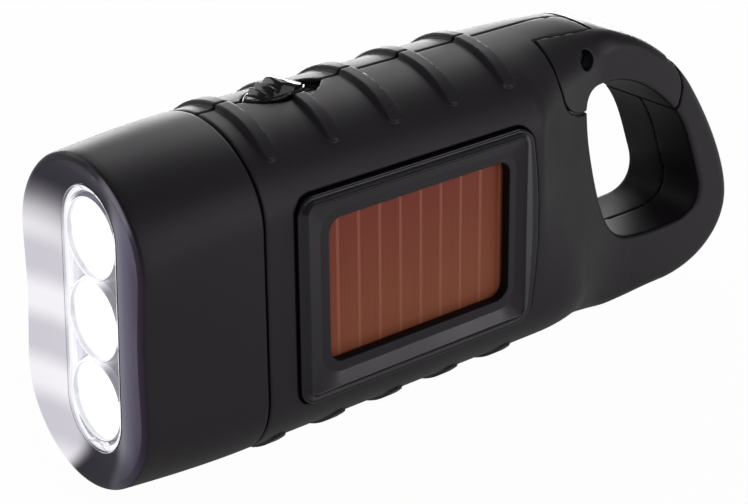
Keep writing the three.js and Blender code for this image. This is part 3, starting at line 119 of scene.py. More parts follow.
class Paint:
    """The node tree of one procedural material, which PAINTS keeps under its name."""

    def __init__(self, name):
        self.material = PAINTS[name] = bpy.data.materials.new(name)
        self.material.use_nodes = True
        self.tree = self.material.node_tree
        self.tree.nodes.clear()
        self.output = self.tree.nodes.new("ShaderNodeOutputMaterial")

    def feed(self, socket, value):
        """Links a value to a socket, or sets a plain number, vector or colour on it."""
        if isinstance(value, Value):
            self.tree.links.new(value.socket, socket)
        elif hasattr(socket.default_value, "__len__") and len(socket.default_value) == 4:
            socket.default_value = (*value[:3], 1)
        else:
            socket.default_value = value

    def node(self, kind, settings=None, *values, output=0, **named):
        """Adds a node: its settings first, then its sockets by place or by name."""
        made = self.tree.nodes.new(kind)
        for key, value in (settings or {}).items():
            if key == "stops":
                ramp = made.color_ramp.elements
                while len(ramp) < len(value):
                    ramp.new(0.5)
                for stop, (place, colour) in zip(ramp, value):
                    stop.position = place
                    stop.color = (*colour, 1)
            else:
                setattr(made, key, value)
        for socket, value in zip(made.inputs, values):
            self.feed(socket, value)
        for key, value in named.items():
            self.feed(made.inputs[key.replace("_", " ")], value)
        return Value(self, made.outputs[output])

    def here(self):
        """The piece's own coordinates, in metres."""
        return self.node("ShaderNodeTexCoord", output="Object")

    def axes(self):
        """The three coordinates as numbers in millimetres from the datum."""
        split = self.node("ShaderNodeSeparateXYZ", None, self.here())
        outputs = split.socket.node.outputs
        return [(Value(self, outputs[i]) - float(DATUM[i])) / MM for i in range(3)]

    def mix(self, factor, one, other):
        """One colour where the factor is 0, the other where it is 1."""
        made = self.tree.nodes.new("ShaderNodeMix")
        made.data_type = "RGBA"
        for place, value in ((0, factor), (6, one), (7, other)):
            self.feed(made.inputs[place], value)
        return Value(self, made.outputs[2])

    def noise(self, scale, detail=2.0, rough=0.5):
        """Noise with so many cells a millimetre, from 0 to 1."""
        return self.node(
            "ShaderNodeTexNoise", None, self.here(),
            Scale=scale / MM, Detail=detail, Roughness=rough,
        )

    def bump(self, height, depth):
        """A normal from a height of 0 to 1 that stands for so many millimetres."""
        return self.node(
            "ShaderNodeBump", None, Strength=1.0, Distance=depth * MM, Height=height,
        )

    def streaks(self, along, **more):
        """Noise along one number only."""
        settings = {"noise_dimensions": "1D"}
        return self.node("ShaderNodeTexNoise", settings, W=along, Detail=3.0, **more)

    def finish(self, shader):
        """Joins the shader to the material's output."""
        self.tree.links.new(shader.socket, self.output.inputs["Surface"])

    def surface(self, colour, rough, **more):
        """The principled shader, as the whole material."""
        self.finish(self.node(
            "ShaderNodeBsdfPrincipled", None, Base_Color=colour, Roughness=rough, **more,
        ))


def moulded(name, colour, rough, grain=0.0, depth=0.0, sheen_spread=0.06, shine=0.5):
    """Moulded plastic: slow patches of gloss, a trace of cloud in its colour, fine spark grain."""
    paint = Paint(name)
    patches = paint.noise(PATCH, 3.0)
    dull, bright = [c * DULL for c in colour], [min(c * BRIGHT, 1.0) for c in colour]
    colour_mix = paint.mix(patches, dull, bright)
    roughness = paint.noise(PATCH * 4, 2.0) * (2 * sheen_spread) + (rough - sheen_spread)
    more = {"Specular_IOR_Level": shine}
    if max(colour) < 0.02:
        more["Specular_Tint"] = (1.0, 0.94, 1.0)
    if depth:
        more["Normal"] = paint.bump(paint.noise(grain, 2.0, 0.6), depth)
    paint.surface(colour_mix, roughness, **more)


def metal(name, colour, rough):
    """Worked metal: fine brushing along one way and a little tarnish."""
    paint = Paint(name)
    settings = {"vector_type": "POINT"}
    stretched = paint.node("ShaderNodeMapping", settings, paint.here(), Scale=BRUSH_STRETCH)
    brushing = paint.node("ShaderNodeTexNoise", None, stretched, Scale=900.0, Detail=3.0)
    tarnish = paint.noise(0.25, 3.0)
    tint = paint.mix(tarnish, [c * TARNISHED for c in colour], colour)
    rough = brushing * 0.2 + (rough - 0.1)
    paint.surface(tint, rough, Metallic=1.0, Normal=paint.bump(brushing, BRUSH_DEPTH))


# Shapes, worked out as whole numpy arrays in millimetres


def put(name, points, faces, body, slot, *nodes, normals=None):
    """Makes a piece from points in millimetres, rides it on its body and names its finish."""
    mesh = bpy.data.meshes.new(name)
    mesh.from_pydata((np.asarray(points) * MM + DATUM).tolist(), [], faces)
    mesh.polygons.foreach_set("use_smooth", np.ones(len(mesh.polygons), bool))
    if normals is not None:
        mesh.normals_split_custom_set_from_vertices(normals.tolist())
    mesh.materials.append(PAINTS[slot])
    piece = bpy.data.objects.new(name, mesh)
    bpy.context.scene.collection.objects.link(piece)
    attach(piece, body)
    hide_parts(*nodes)
    return piece


def repaint(piece, slot, where):
    """Gives another finish to the faces whose middles, in millimetres, pass the test."""
    piece.data.materials.append(PAINTS[slot])
    spots = (np.array([polygon.center for polygon in piece.data.polygons]) - DATUM) / MM
    piece.data.polygons.foreach_set("material_index", where(*spots.T).astype(int))


def loft(rings, closed=False):
    """Quads between rings of as many points each; closed joins the last ring to the first,
    otherwise either end gets a fan round its middle. Rings is an array of rows, points, xyz."""
    rows, count = rings.shape[:2]
    points = rings.reshape(-1, 3)
    row = np.arange(rows if closed else rows - 1)[:, None] * count
    here = np.arange(count)[None, :]
    after = (here + 1) % count
    up = (row + count) % (rows * count)
    quads = np.stack([row + here, row + after, up + after, up + here], -1).reshape(-1, 4)
    faces = quads.tolist()
    if not closed:
        here, after = here[0], after[0]
        last = (rows - 1) * count
        hub = np.full(count, len(points))
        faces += np.stack([hub, after, here], -1).tolist()
        faces += np.stack([hub + 1, last + here, last + after], -1).tolist()
        points = np.vstack([points, rings[0].mean(0), rings[-1].mean(0)])
    return points, faces


def outward(points, faces):
    """Turns all faces round when the closed mesh that they make has a volume below zero."""
    corners = np.array([face[:3] + face[-1:] for face in faces])
    a, b, c, d = (points[corners[:, i]] for i in range(4))
    volume = np.einsum("ij,ij->i", a, np.cross(b, c) + np.cross(c, d)).sum()
    return faces if volume > 0 else [face[::-1] for face in faces]


def turned(profile, axis, place, count):
    """A profile of radius and place along an axis (0 for X, 1 for Y, 2 for Z), turned round
    that axis through the given place; the profile is a loop or starts and ends on the axis."""
    profile = np.asarray(profile, float)
    angle = np.arange(count) / count * math.tau
    radius, along = profile[:, :1], profile[:, 1:]
    on_axis = profile[0, 0] == 0 and profile[-1, 0] == 0
    if on_axis:
        radius, along = radius[1:-1], along[1:-1]
    ring = np.zeros((len(radius), count, 3))
    ring[..., axis] = along
    ring[..., (axis + 1) % 3] = radius * np.cos(angle)
    ring[..., (axis + 2) % 3] = radius * np.sin(angle)
    points, faces = loft(ring, closed=not on_axis)
    if on_axis:
        points[-2, axis], points[-1, axis] = profile[0, 1], profile[-1, 1]
    points = points + np.asarray(place, float)
    return points, outward(points, faces)


def rounded(corners, radius, steps=6):
    """A profile polygon whose inner corners are rounded: each corner becomes a quadratic
    curve between the points that lie the radius before and after it."""
    corners = np.asarray(corners, float)
    before, here, after = corners[:-2], corners[1:-1], corners[2:]
    to_before, to_after = before - here, after - here
    long_before = np.linalg.norm(to_before, axis=1, keepdims=True)
    long_after = np.linalg.norm(to_after, axis=1, keepdims=True)
    start = here + to_before / long_before * np.minimum(radius, long_before / 2.01)
    end = here + to_after / long_after * np.minimum(radius, long_after / 2.01)
    share = np.linspace(0, 1, steps + 1)[None, :, None]
    curve = start[:, None] * (1 - share) ** 2 + 2 * here[:, None] * share * (1 - share)
    curve = curve + end[:, None] * share**2
    return np.vstack([corners[:1], curve.reshape(-1, 2), corners[-1:]])


def smoothed(places, values, steps=400):
    """A table drawn through the given places as a cubic curve, with slopes at each place from
    its two neighbours."""
    places, values = np.asarray(places, float), np.asarray(values, float)
    if values.ndim == 1:
        values = values[:, None]
    rates = np.gradient(values, places, axis=0)
    fine = np.linspace(places[0], places[-1], steps)
    i = np.clip(np.searchsorted(places, fine) - 1, 0, len(places) - 2)
    gap = (places[i + 1] - places[i])[:, None]
    part = (fine - places[i])[:, None] / gap
    left, right = values[i], values[i + 1]
    table = (2 * part**3 - 3 * part**2 + 1) * left + (3 * part**2 - 2 * part**3) * right
    table += gap * rates[i] * (part**3 - 2 * part**2 + part)
    table += gap * rates[i + 1] * (part**3 - part**2)
    return fine, table.squeeze()


QUARTER = 26
SIDE = 22


def section(width, height, crown, shoulder, waist=0.0, waist_reach=13.0):
    """Rings of y and z, one for each row of the given columns. A crown arc over the middle
    runs into a shoulder arc tangent to it and to a straight side, at even turns of the
    normal; the waist draws the sides in by a cosine squared of their height."""
    width, height, crown, shoulder, waist = (
        np.atleast_1d(np.asarray(value, float))[:, None]
        for value in (width, height, crown, shoulder, waist)
    )
    across = width - shoulder
    rise = np.sqrt(np.maximum((crown - shoulder) ** 2 - across**2, 0))
    joint = np.arctan2(across, rise)
    angle = np.linspace(0, math.pi / 2, QUARTER + 1)[None, :]
    on_crown = angle < joint
    y = np.where(on_crown, 0, across) + np.where(on_crown, crown, shoulder) * np.sin(angle)
    z = height - crown + np.where(on_crown, 0, rise)
    z = z + np.where(on_crown, crown, shoulder) * np.cos(angle)
    part = np.linspace(0, 1, SIDE + 1)[None, 1:-1]
    side_z = z[:, -1:] * (1 - 2 * part)
    draw = np.cos(np.minimum(np.abs(side_z) / waist_reach, 1) * math.pi / 2) ** 2
    side_y = y[:, -1:] - waist * draw
    half_y = np.concatenate([y, side_y, y[:, ::-1]], 1)
    half_z = np.concatenate([z, side_z, -z[:, ::-1]], 1)
    ring_y = np.concatenate([half_y, -half_y[:, -2:0:-1]], 1)
    ring_z = np.concatenate([half_z, half_z[:, -2:0:-1]], 1)
    return ring_y, ring_z


def rings_at(x, ring_y, ring_z):
    """Rings of y and z set at the places x along the torch."""
    x = np.broadcast_to(np.reshape(x, (-1, 1)), ring_y.shape)
    return np.stack([x, ring_y, ring_z], -1)


# Shapes as distance fields: a function that is below zero inside the solid


def cut(solid, tool, edge=0.2):
    """What is left of the solid outside the tool, with its new edges rounded."""
    return both(solid, -tool, edge)


def both(one, other, edge=0.2):
    """The common part of two solids, its edges rounded to a radius."""
    reach = np.hypot(np.maximum(one + edge, 0), np.maximum(other + edge, 0))
    return np.minimum(-edge, np.maximum(one, other)) + reach


def either(one, other, blend=0.3):
    """Two solids joined, the corner between them filled by a smooth blend."""
    share = np.clip(0.5 + 0.5 * (other - one) / blend, 0, 1)
    return other + (one - other) * share - blend * share * (1 - share)


FIELD_LOW, FIELD_HIGH = (17.0, -33.0), (137.0, 33.0)


class Outline:
    """Signed distance to a closed outline in X and Z, kept on a grid and read between its
    points, so that it is quick at any number of places."""

    def __init__(self, corners, step=0.25):
        self.low, self.step = np.array(FIELD_LOW), step
        across, up = (
            np.arange(low, high + step, step) for low, high in zip(FIELD_LOW, FIELD_HIGH)
        )
        spots = np.stack(np.meshgrid(across, up, indexing="ij"), -1)
        self.values = np.stack([self.measure(row, np.asarray(corners)) for row in spots])

    @staticmethod
    def measure(spots, corners):
        """Nearest distance from the spots to the outline's edges, below zero inside it."""
        start = corners[None]
        way = np.roll(corners, -1, 0)[None] - start
        apart = spots[:, None] - start
        length = np.maximum((way**2).sum(-1), 1e-12)
        along = np.clip((apart * way).sum(-1) / length, 0, 1)
        gap = np.linalg.norm(apart - way * along[..., None], axis=-1).min(1)
        above = apart[..., 1] >= 0
        next_above = apart[..., 1] >= way[..., 1]
        cross = apart[..., 0] * way[..., 1] - apart[..., 1] * way[..., 0]
        hits = (above != next_above) & ((cross < 0) == (way[..., 1] > 0))
        return np.where(hits.sum(1) % 2 == 1, -gap, gap)

    def __call__(self, x, z):
        rows, columns = self.values.shape
        u = np.clip((x - self.low[0]) / self.step, 0, rows - 1.001)
        v = np.clip((z - self.low[1]) / self.step, 0, columns - 1.001)
        i, j = u.astype(int), v.astype(int)
        u, v = u - i, v - j
        lower = self.values[i, j] * (1 - u) + self.values[i + 1, j] * u
        upper = self.values[i, j + 1] * (1 - u) + self.values[i + 1, j + 1] * u
        return lower * (1 - v) + upper * v


def slope(field, points, reach=0.3):
    """The field's steepest way at each point, from differences over twice the reach."""
    steps = np.eye(3) * reach
    return np.stack(
        [field(*(points + step).T) - field(*(points - step).T) for step in steps], -1,
    ) / (2 * reach)


def skin(field, low, high, step):
    """The surface on which the field is zero, as one closed mesh of quads. Each cell of a
    grid that the surface crosses gets a point, the mean of where it crosses the cell's
    edges, which then slides down the field's slope on to the surface; each grid edge that
    is crossed joins its four cells in a quad. Returns points, faces and normals."""
    axes = [np.arange(a - step, b + 2 * step, step) for a, b in zip(low, high)]
    value = field(axes[0][:, None, None], axes[1][None, :, None], axes[2][None, None, :])
    value = np.broadcast_to(value, [len(axis) for axis in axes])
    inside = value < 0
    cells = [len(axis) - 1 for axis in axes]
    total = np.zeros(cells, np.int8)
    for corner in np.ndindex(2, 2, 2):
        total += inside[tuple(slice(c, c + n) for c, n in zip(corner, cells))]
    crossed = (total > 0) & (total < 8)
    number = np.full(cells, -1)
    number[crossed] = np.arange(crossed.sum())
    cell = np.argwhere(crossed)
    spot, hits = np.zeros((len(cell), 3)), np.zeros((len(cell), 1))
    for corner in np.ndindex(2, 2, 2):
        for way in range(3):
            if corner[way]:
                continue
            start = cell + corner
            end = start + np.eye(3, dtype=int)[way]
            a, b = value[tuple(start.T)], value[tuple(end.T)]
            met = (a < 0) != (b < 0)
            share = np.where(met, a / np.where(met, a - b, 1), 0)[:, None]
            spot += (start + share * (end - start)) * met[:, None]
            hits += met[:, None]
    points = np.stack([axis[0] for axis in axes]) + step * spot / hits
    for _ in range(3):
        way = slope(field, points, step / 4)
        size = np.maximum((way**2).sum(-1), 0.05)
        move = way * (field(*points.T) / size)[:, None]
        points = points - np.clip(move, -step / 2, step / 2)
    way = slope(field, points, step / 2)
    normals = way / np.maximum(np.linalg.norm(way, axis=1, keepdims=True), 1e-9)
    quads = []
    for way in range(3):
        one, other = (way + 1) % 3, (way + 2) % 3
        span = [slice(1, n) for n in cells]
        span[way] = slice(0, cells[way])
        ahead = list(span)
        ahead[way] = slice(1, cells[way] + 1)
        enters = inside[tuple(span)] != inside[tuple(ahead)]
        place = np.argwhere(enters) + [0 if i == way else 1 for i in range(3)]
        from_inside = inside[tuple(place.T)]
        back_one, back_other = np.eye(3, dtype=int)[one], np.eye(3, dtype=int)[other]
        ring = [place - back_one - back_other, place - back_other, place, place - back_one]
        quad = np.stack([number[tuple(corner.T)] for corner in ring], -1)
        quad[~from_inside] = quad[~from_inside][:, ::-1]
        quads.append(quad)
    return points, np.vstack(quads).tolist(), normals


def shaped(name, field, low, high, step, body, slot, *nodes):
    """A piece from its distance field, sought between two corners on a grid of the step."""
    points, faces, normals = skin(field, low, high, step)
    return put(name, points, faces, body, slot, *nodes, normals=normals)


# The body, worked out from its sizes in side view and its width at each place

HEAD_LENGTH, GRIP_LENGTH, LOOP_LENGTH = 20.0, 64.0, 48.0
LOOP_START = HEAD_LENGTH + GRIP_LENGTH
LOOP_END = LOOP_START + LOOP_LENGTH
HALF_WIDTH, HALF_HEIGHT, LOOP_HALF = 16.3, 27.7, 9.0
CROWN, SHOULDER, LOOP_EDGE, FLAT_CROWN = 1.1, 0.74, 2.2, 8.0
STEP = HALF_WIDTH - LOOP_HALF
RIB_HEIGHT, RIB_LOW, RIB_END, RIB_RUN, RIB_HALF = 0.8, 0.34, 23.0, 4.5, 1.45
RIB_ROUND, RIB_LEAN, RIB_PLACES = 0.8, 0.35, 24.9 + 12.0 * np.arange(5)
STAND = -(HALF_HEIGHT + RIB_HEIGHT - 0.45)
FIT, ON_WALL, HALF_PARTING, PARTING_EDGE = 0.3, 0.16, 0.15, 0.12
OUTER_SHARES = (
    (0, 1), (0.104, 1), (0.204, 0.993), (0.292, 0.946), (0.49, 0.866), (0.692, 0.621),
    (0.792, 0.357), (0.888, 0.119), (1, -0.235), (1, -0.458), (1, -0.708), (0.865, -0.91),
    (0.66, -0.928), (0.448, -0.928), (0.229, -0.989), (0, -1),
)
HOLE_SHARES = (
    (0.2, 0.477), (0.208, 0.144), (0.261, -0.451), (0.458, -0.498), (0.541, -0.52),
    (0.604, -0.52), (0.687, -0.513), (0.802, -0.513), (0.846, -0.397), (0.811, -0.235),
    (0.779, -0.09), (0.746, 0.123), (0.678, 0.253), (0.594, 0.404), (0.458, 0.592),
    (0.312, 0.592), (0.261, 0.592), (0.204, 0.592), (0.2, 0.477),
)
NECK = np.array([
    (-0.188, 1, 1, 0), (-0.146, 1, 1, 0), (-0.083, 0.8, 1, 0), (0, 0.51, 0.97, 0),
    (0.083, 0.29, 0.82, 0), (0.167, 0.144, 0.5, 0.1), (0.26, 0.01, 0.22, 0.35),
    (0.36, 0, 0.06, 0.8), (0.458, 0, 0, 1),
])
NECK_PLACES, NECK_TABLE = smoothed(NECK[:, 0], NECK[:, 1:])
NECK_BLEND, SCOOP_POWER, SCOOP_EDGE, OUT_OF_REACH = 13.8, 1.4, 0.4, 20.0
SCOOP_RADIUS, SCOOP_RUN, SCOOP_X, SCOOP_Z = 41.2, 20.0, LOOP_END - 13.7, 14.5
PIN_X, PIN_Z, PIN_RADIUS = LOOP_START + 9.2, HALF_HEIGHT - 5.9, 1.5
LOBE, TIP_REACH, TIP_ANGLE, TIP_RADIUS = 8.9, 20.3, math.radians(-31.5), 6.9
TONGUE_HALF, TONGUE_RADIUS, TONGUE_FRONT = 5.7, 5.5, 1.0
HOLE_EDGE, PIN_FIT = 0.9, 0.15
HUB_X = HEAD_LENGTH + 30.0
BOSS_RADIUS, BOSS_RISE, BOSS_BORE, WALL_INSIDE = 9.0, 0.5, 4.85, 10
BOAT_MIDDLE, BOAT_HALF, BOAT_WIDTH = 34.8, 6.1, 3.1
BOAT_SLACK, SLIDE_RUN, ROOM_DEPTH = 0.35, 2.6, 1.3
SCREWS = ((27.4, 20.6), (27.4, -20.6), (73.4, 20.2), (73.4, -20.2), (110.88, -19.8))
SEAT_RADIUS, SEAT_FLOOR = 2.8, 6.0


def curves(shares, steps=20):
    """Points along a run of cubic curves through shares of the loop's length and the body's
    half height: each point is the sum of four corners weighed by the cubic's four terms."""
    corners = np.asarray(shares, float) * (LOOP_LENGTH, HALF_HEIGHT) + (LOOP_START, 0)
    part = np.arange(steps)[:, None, None] / steps
    count = (len(corners) - 1) // 3
    first, second, third, fourth = (corners[i::3][:count] for i in range(4))
    rest = 1 - part
    points = first * rest**3 + 3 * second * part * rest**2
    points = points + 3 * third * part**2 * rest + fourth * part**3
    return points.transpose(1, 0, 2).reshape(-1, 2)


def arc(x, z, radius, start, end, steps=40):
    """Points round part of a circle in side view, at even turns from start to end."""
    angle = np.linspace(start, end, steps)
    return np.stack([x + radius * np.cos(angle), z + radius * np.sin(angle)], -1)


BACK_CORNERS = [(LOOP_START, -HALF_HEIGHT), (0, -HALF_HEIGHT), (0, HALF_HEIGHT)]
outer_field = Outline(np.vstack([curves(OUTER_SHARES), BACK_CORNERS]))
hole_field = Outline(curves(HOLE_SHARES))


def gate_outline():
    """The gate in side view: a straight seam down to the lobe round the pin, then round the
    lobe and the tip, and up over the loop's back."""
    tip_x = PIN_X + TIP_REACH * math.cos(TIP_ANGLE)
    tip_z = PIN_Z + TIP_REACH * math.sin(TIP_ANGLE)
    end = TIP_ANGLE + math.pi / 2
    beyond = (tip_x + 2 * TIP_RADIUS * math.cos(end), tip_z + 2 * TIP_RADIUS * math.sin(end))
    return np.vstack([
        [[PIN_X - LOBE, HALF_HEIGHT + 6]],
        arc(PIN_X, PIN_Z, LOBE, math.pi, math.radians(287)),
        arc(tip_x, tip_z, TIP_RADIUS, TIP_ANGLE - math.pi / 2, end),
        [beyond, (tip_x + TIP_RADIUS, HALF_HEIGHT + 6)],
    ])


gate_field = Outline(gate_outline())


def profile(y, depth, width, crown, shoulder):
    """Distance to the section's edge from a place beside the middle plane and below the
    outline: outside a crown arc, a shoulder arc tangent to it, or a straight side."""
    y = np.abs(y)
    over = crown - depth
    across = width - shoulder
    rise = np.sqrt(np.maximum((crown - shoulder) ** 2 - across**2, 1e-9))
    on_crown = y * rise < over * across
    top = np.where(
        on_crown, np.hypot(y, over) - crown, np.hypot(y - across, over - rise) - shoulder,
    )
    return np.where(over > rise, top, y - width)


def widths(x, z):
    """The half width at a place in side view, the section's crown and shoulder radii there."""
    along = (x - LOOP_START) / LOOP_LENGTH
    upper, lower, flat = (np.interp(along, NECK_PLACES, column) for column in NECK_TABLE.T)
    part = np.clip((z + NECK_BLEND) / (2 * NECK_BLEND), 0, 1)
    part = part * part * (3 - 2 * part)
    width = LOOP_HALF + STEP * (lower + (upper - lower) * part)
    crown = width * (CROWN + (FLAT_CROWN - CROWN) * flat**2)
    shoulder = width * SHOULDER * (1 - flat) + LOOP_EDGE * flat
    return width, crown, shoulder


def scoop(x, z):
    """Half width inside the scoop, which falls from the rim as a power of the way left to
    run, and the round of its rim, which dies out as the scoop runs into the loop."""
    inward = SCOOP_RADIUS - np.hypot(x - SCOOP_X, z - SCOOP_Z)
    left = np.clip(1 - inward / SCOOP_RUN, 0, 1)
    floor = LOOP_HALF + STEP * left**SCOOP_POWER
    half = np.where(inward > 0, floor, HALF_WIDTH + OUT_OF_REACH - inward)
    return half, 0.02 + (SCOOP_EDGE - 0.02) * np.clip(3 * left, 0, 1)


def body_field(x, y, z):
    """The solid body before its cuts: grip, neck and loop, ribs and the flats it stands on."""
    depth = -outer_field(x, z)
    width, crown, shoulder = widths(x, z)
    base = profile(y, depth, width, crown, shoulder)
    half, edge = scoop(x, z)
    base = both(base, np.abs(y) - half, edge)
    height = RIB_LOW + (RIB_HEIGHT - RIB_LOW) * np.clip((np.abs(z) - RIB_END) / RIB_RUN, 0, 1)
    crest = base - height
    beyond = np.maximum(RIB_END + RIB_ROUND - np.abs(z), 0) * RIB_HALF
    for place in RIB_PLACES:
        side = np.hypot(x - place, beyond) - RIB_HALF + RIB_LEAN * np.clip(base, 0, 1)
        base = either(both(crest, side * 0.94, 0.14), base, 0.12)
    return both(base, STAND - z, 0.3)


def tongue_field(x, y, z):
    """The part of the pivot that stays with the shells between the gate's cheeks."""
    disc = np.hypot(x - PIN_X, z - PIN_Z) - TONGUE_RADIUS
    block = np.maximum(x - PIN_X - TONGUE_FRONT, PIN_Z - z)
    root = np.maximum(x - PIN_X, z - PIN_Z - TONGUE_RADIUS)
    return np.maximum(np.minimum(np.minimum(disc, block), root), np.abs(y) - TONGUE_HALF)


def hook_field(x, y, z):
    """The body less the loop's hole, the gate's room and the bore for its pin."""
    whole = cut(body_field(x, y, z), hole_field(x, z), HOLE_EDGE)
    room = np.maximum(gate_field(x, z) - FIT, -tongue_field(x, y, z))
    whole = cut(whole, room, 0.14)
    return cut(whole, np.hypot(x - PIN_X, z - PIN_Z) - PIN_RADIUS - PIN_FIT, 0.2)


def boat(x, y, slack=0.0, run=0.0):
    """Distance in plan to a boat shape between two arcs, its middle drawn out by a run."""
    x = x - np.clip(x - BOAT_MIDDLE, 0, run)
    radius = (BOAT_HALF**2 + BOAT_WIDTH**2) / (2 * BOAT_WIDTH)
    return np.hypot(x - BOAT_MIDDLE, np.abs(y) + radius - BOAT_WIDTH) - radius - slack


def switch_room(x, y, z):
    """The recess that the slide moves in."""
    return np.maximum(boat(x, y, BOAT_SLACK, SLIDE_RUN), HALF_HEIGHT - ROOM_DEPTH - z)


def ring_field(x, z, start, end, high, corner, bow):
    """Distance to a rectangle with round corners, its back edge bowed out by a parabola."""
    middle = (start + end) / 2
    x = np.where(x > middle, x - bow * np.clip(1 - (z / high) ** 2, 0, 1), x)
    dx = np.abs(x - middle) - (end - start) / 2 + corner
    dz = np.abs(z) - high + corner
    outside = np.hypot(np.maximum(dx, 0), np.maximum(dz, 0))
    return outside + np.minimum(np.maximum(dx, dz), 0) - corner


BEZEL = (26.0, 73.8, 17.2, 3.0, 1.8)
BEZEL_BACK, CREST = 13.5, HALF_WIDTH + 1.4


def half_field(x, y, z, side):
    """The part of the body on one side of the parting plane, less the switch's room."""
    half = both(hook_field(x, y, z), HALF_PARTING - side * y, PARTING_EDGE)
    return cut(half, switch_room(x, y, z), 0.3)


def right_field(x, y, z):
    """The solar side of the body, with a seat for the panel."""
    half = half_field(x, y, z, -1)
    seat = np.maximum(ring_field(x, z, *BEZEL) - FIT, y + BEZEL_BACK - 0.3)
    half = cut(half, seat, 0.3)
    return both(half, HEAD_LENGTH + FIT - x, 0.3)


def left_field(x, y, z):
    """The crank side of the body, with a boss for the crank and seats for the screws."""
    half = half_field(x, y, z, 1)
    radius = np.hypot(x - HUB_X, z)
    boss = both(radius - BOSS_RADIUS, y - HALF_WIDTH - BOSS_RISE, 0.3)
    half = either(half, np.maximum(boss, WALL_INSIDE - y), 0.4)
    half = cut(half, np.maximum(radius - BOSS_BORE, WALL_INSIDE - y), 0.2)
    for place_x, place_z in SCREWS:
        seat = np.hypot(x - place_x, z - place_z) - SEAT_RADIUS
        half = cut(half, np.maximum(seat, SEAT_FLOOR - y), 0.25)
    return both(half, HEAD_LENGTH + FIT - x, 0.3)


def on_hole(x, y, z):
    """Whether a place is on the wall of the loop's hole, where little light comes."""
    return np.abs(hole_field(x, z)) < ON_WALL


def make_body(step):
    """Both halves of the body, each the zero surface of its own field."""
    for side, node, field, near, far in (
        ("solar", "right", right_field, -18.0, 0.0), ("crank", "left", left_field, 0.0, 17.5),
    ):
        piece = shaped(
            f"shell_{side}_side", field, (HEAD_LENGTH, near, STAND),
            (LOOP_END + 0.5, far, HALF_HEIGHT + 1.2), step,
            "torch", "shell_plastic", f"{node}_shell",
        )
        repaint(piece, "wall_plastic", on_hole)


def gate_slot_outline():
    """The room between the gate's cheeks in side view: open to the front and the top, round
    the tongue behind, with a slope below that lets the gate swing in."""
    radius, clear, far = TONGUE_RADIUS + FIT, TONGUE_FRONT + FIT, LOBE + 3
    start = math.radians(-60)
    front = LOOP_START - 12
    return np.vstack([
        [(PIN_X + clear, HALF_HEIGHT + 4), (front, HALF_HEIGHT + 4), (front, PIN_Z - far),
         (PIN_X + far * math.tan(start + math.pi / 2), PIN_Z - far)],
        arc(PIN_X, PIN_Z, radius, start, math.acos(clear / radius)),
    ])


slot_field = Outline(gate_slot_outline())
GATE_GAP, FORK_GAP, PIN_HALF = 0.1, 0.08, 7.0


def gate_part(x, y, z):
    """The gate: what the body has inside the gate's outline, less the hole, the room for the
    tongue and the bore for the pin."""
    whole = cut(body_field(x, y, z), hole_field(x, z), HOLE_EDGE)
    whole = both(whole, gate_field(x, z) + GATE_GAP, 0.3)
    room = np.maximum(slot_field(x, z), np.abs(y) - TONGUE_HALF - FORK_GAP)
    whole = cut(whole, room, 0.05)
    return cut(whole, np.hypot(x - PIN_X, z - PIN_Z) - PIN_RADIUS - PIN_FIT, 0.25)


def make_pin(name, radius, half, edge, axis, place, count, body, node):
    """A steel pin, turned round its axis, with rounded ends."""
    profile = rounded([(0, -half), (radius, -half), (radius, half), (0, half)], edge)
    points, faces = turned(profile, axis, place, count)
    put(name, points, faces, body, "steel", node)


def make_gate(step):
    """The gate and the pin it swings on."""
    low, high = (PIN_X - 10, -LOOP_HALF - 4, -4), (LOOP_END, LOOP_HALF + 4, HALF_HEIGHT + 0.6)
    bar = shaped("gate_bar", gate_part, low, high, step, "gate", "gate_plastic", "gate")
    repaint(bar, "wall_plastic", on_hole)
    make_pin("gate_pivot", PIN_RADIUS, PIN_HALF, 0.3, 1, (PIN_X, 0, PIN_Z), 40,
             "torch", "gate_pin")


# Head and lamps

FRONT, FACE_LEAN, DISH_FLOOR, DISH_DEPTH = 2.0, 0.03, -0.4, 1.6
RIM_WIDTH, RIM_HEIGHT, RIM_ROUND, RIM_INSET = 16.2, 26.5, 0.9, 1.2
RIM_CROWN, RIM_SHOULDER, RIM_WAIST = 1.02, 0.88, 0.6
CUPS_WIDTH, CUPS_HEIGHT, CUP_RADIUS, LAMP_PITCH = 7.4, 21.65, 6.45, 13.2
LAMPS = (-LAMP_PITCH, 0.0, LAMP_PITCH)
LENS_FIT, BORE_WIDTH, BORE_HEIGHT = 0.16, 12.6, 24.0
BOWL_FRONT, BLOCK_BACK, BOWL_LIP, LAMP_HOLE = 0.2, 7.85, 0.35, 2.9
LIP_WIDTH, FLOOR_SUNK, BOWL_RIM = 0.85, 1.0, 0.1
FLANGE_WIDTH, FLANGE_HEIGHT, FLANGE_X, FLANGE_HALF = 8.9, 23.15, 2.6, 0.7
LAMP_RADIUS, LAMP_LENGTH, COLLAR_RADIUS, COLLAR_X = 2.5, 6.4, 2.6, 6.9


def leaned(points):
    """The lamp face leans back; the lean dies out towards the head's seam."""
    points = np.array(points, float)
    share = np.maximum(1 - points[..., 0] / HEAD_LENGTH, 0)
    points[..., 0] += FACE_LEAN * points[..., 2] * share
    return points


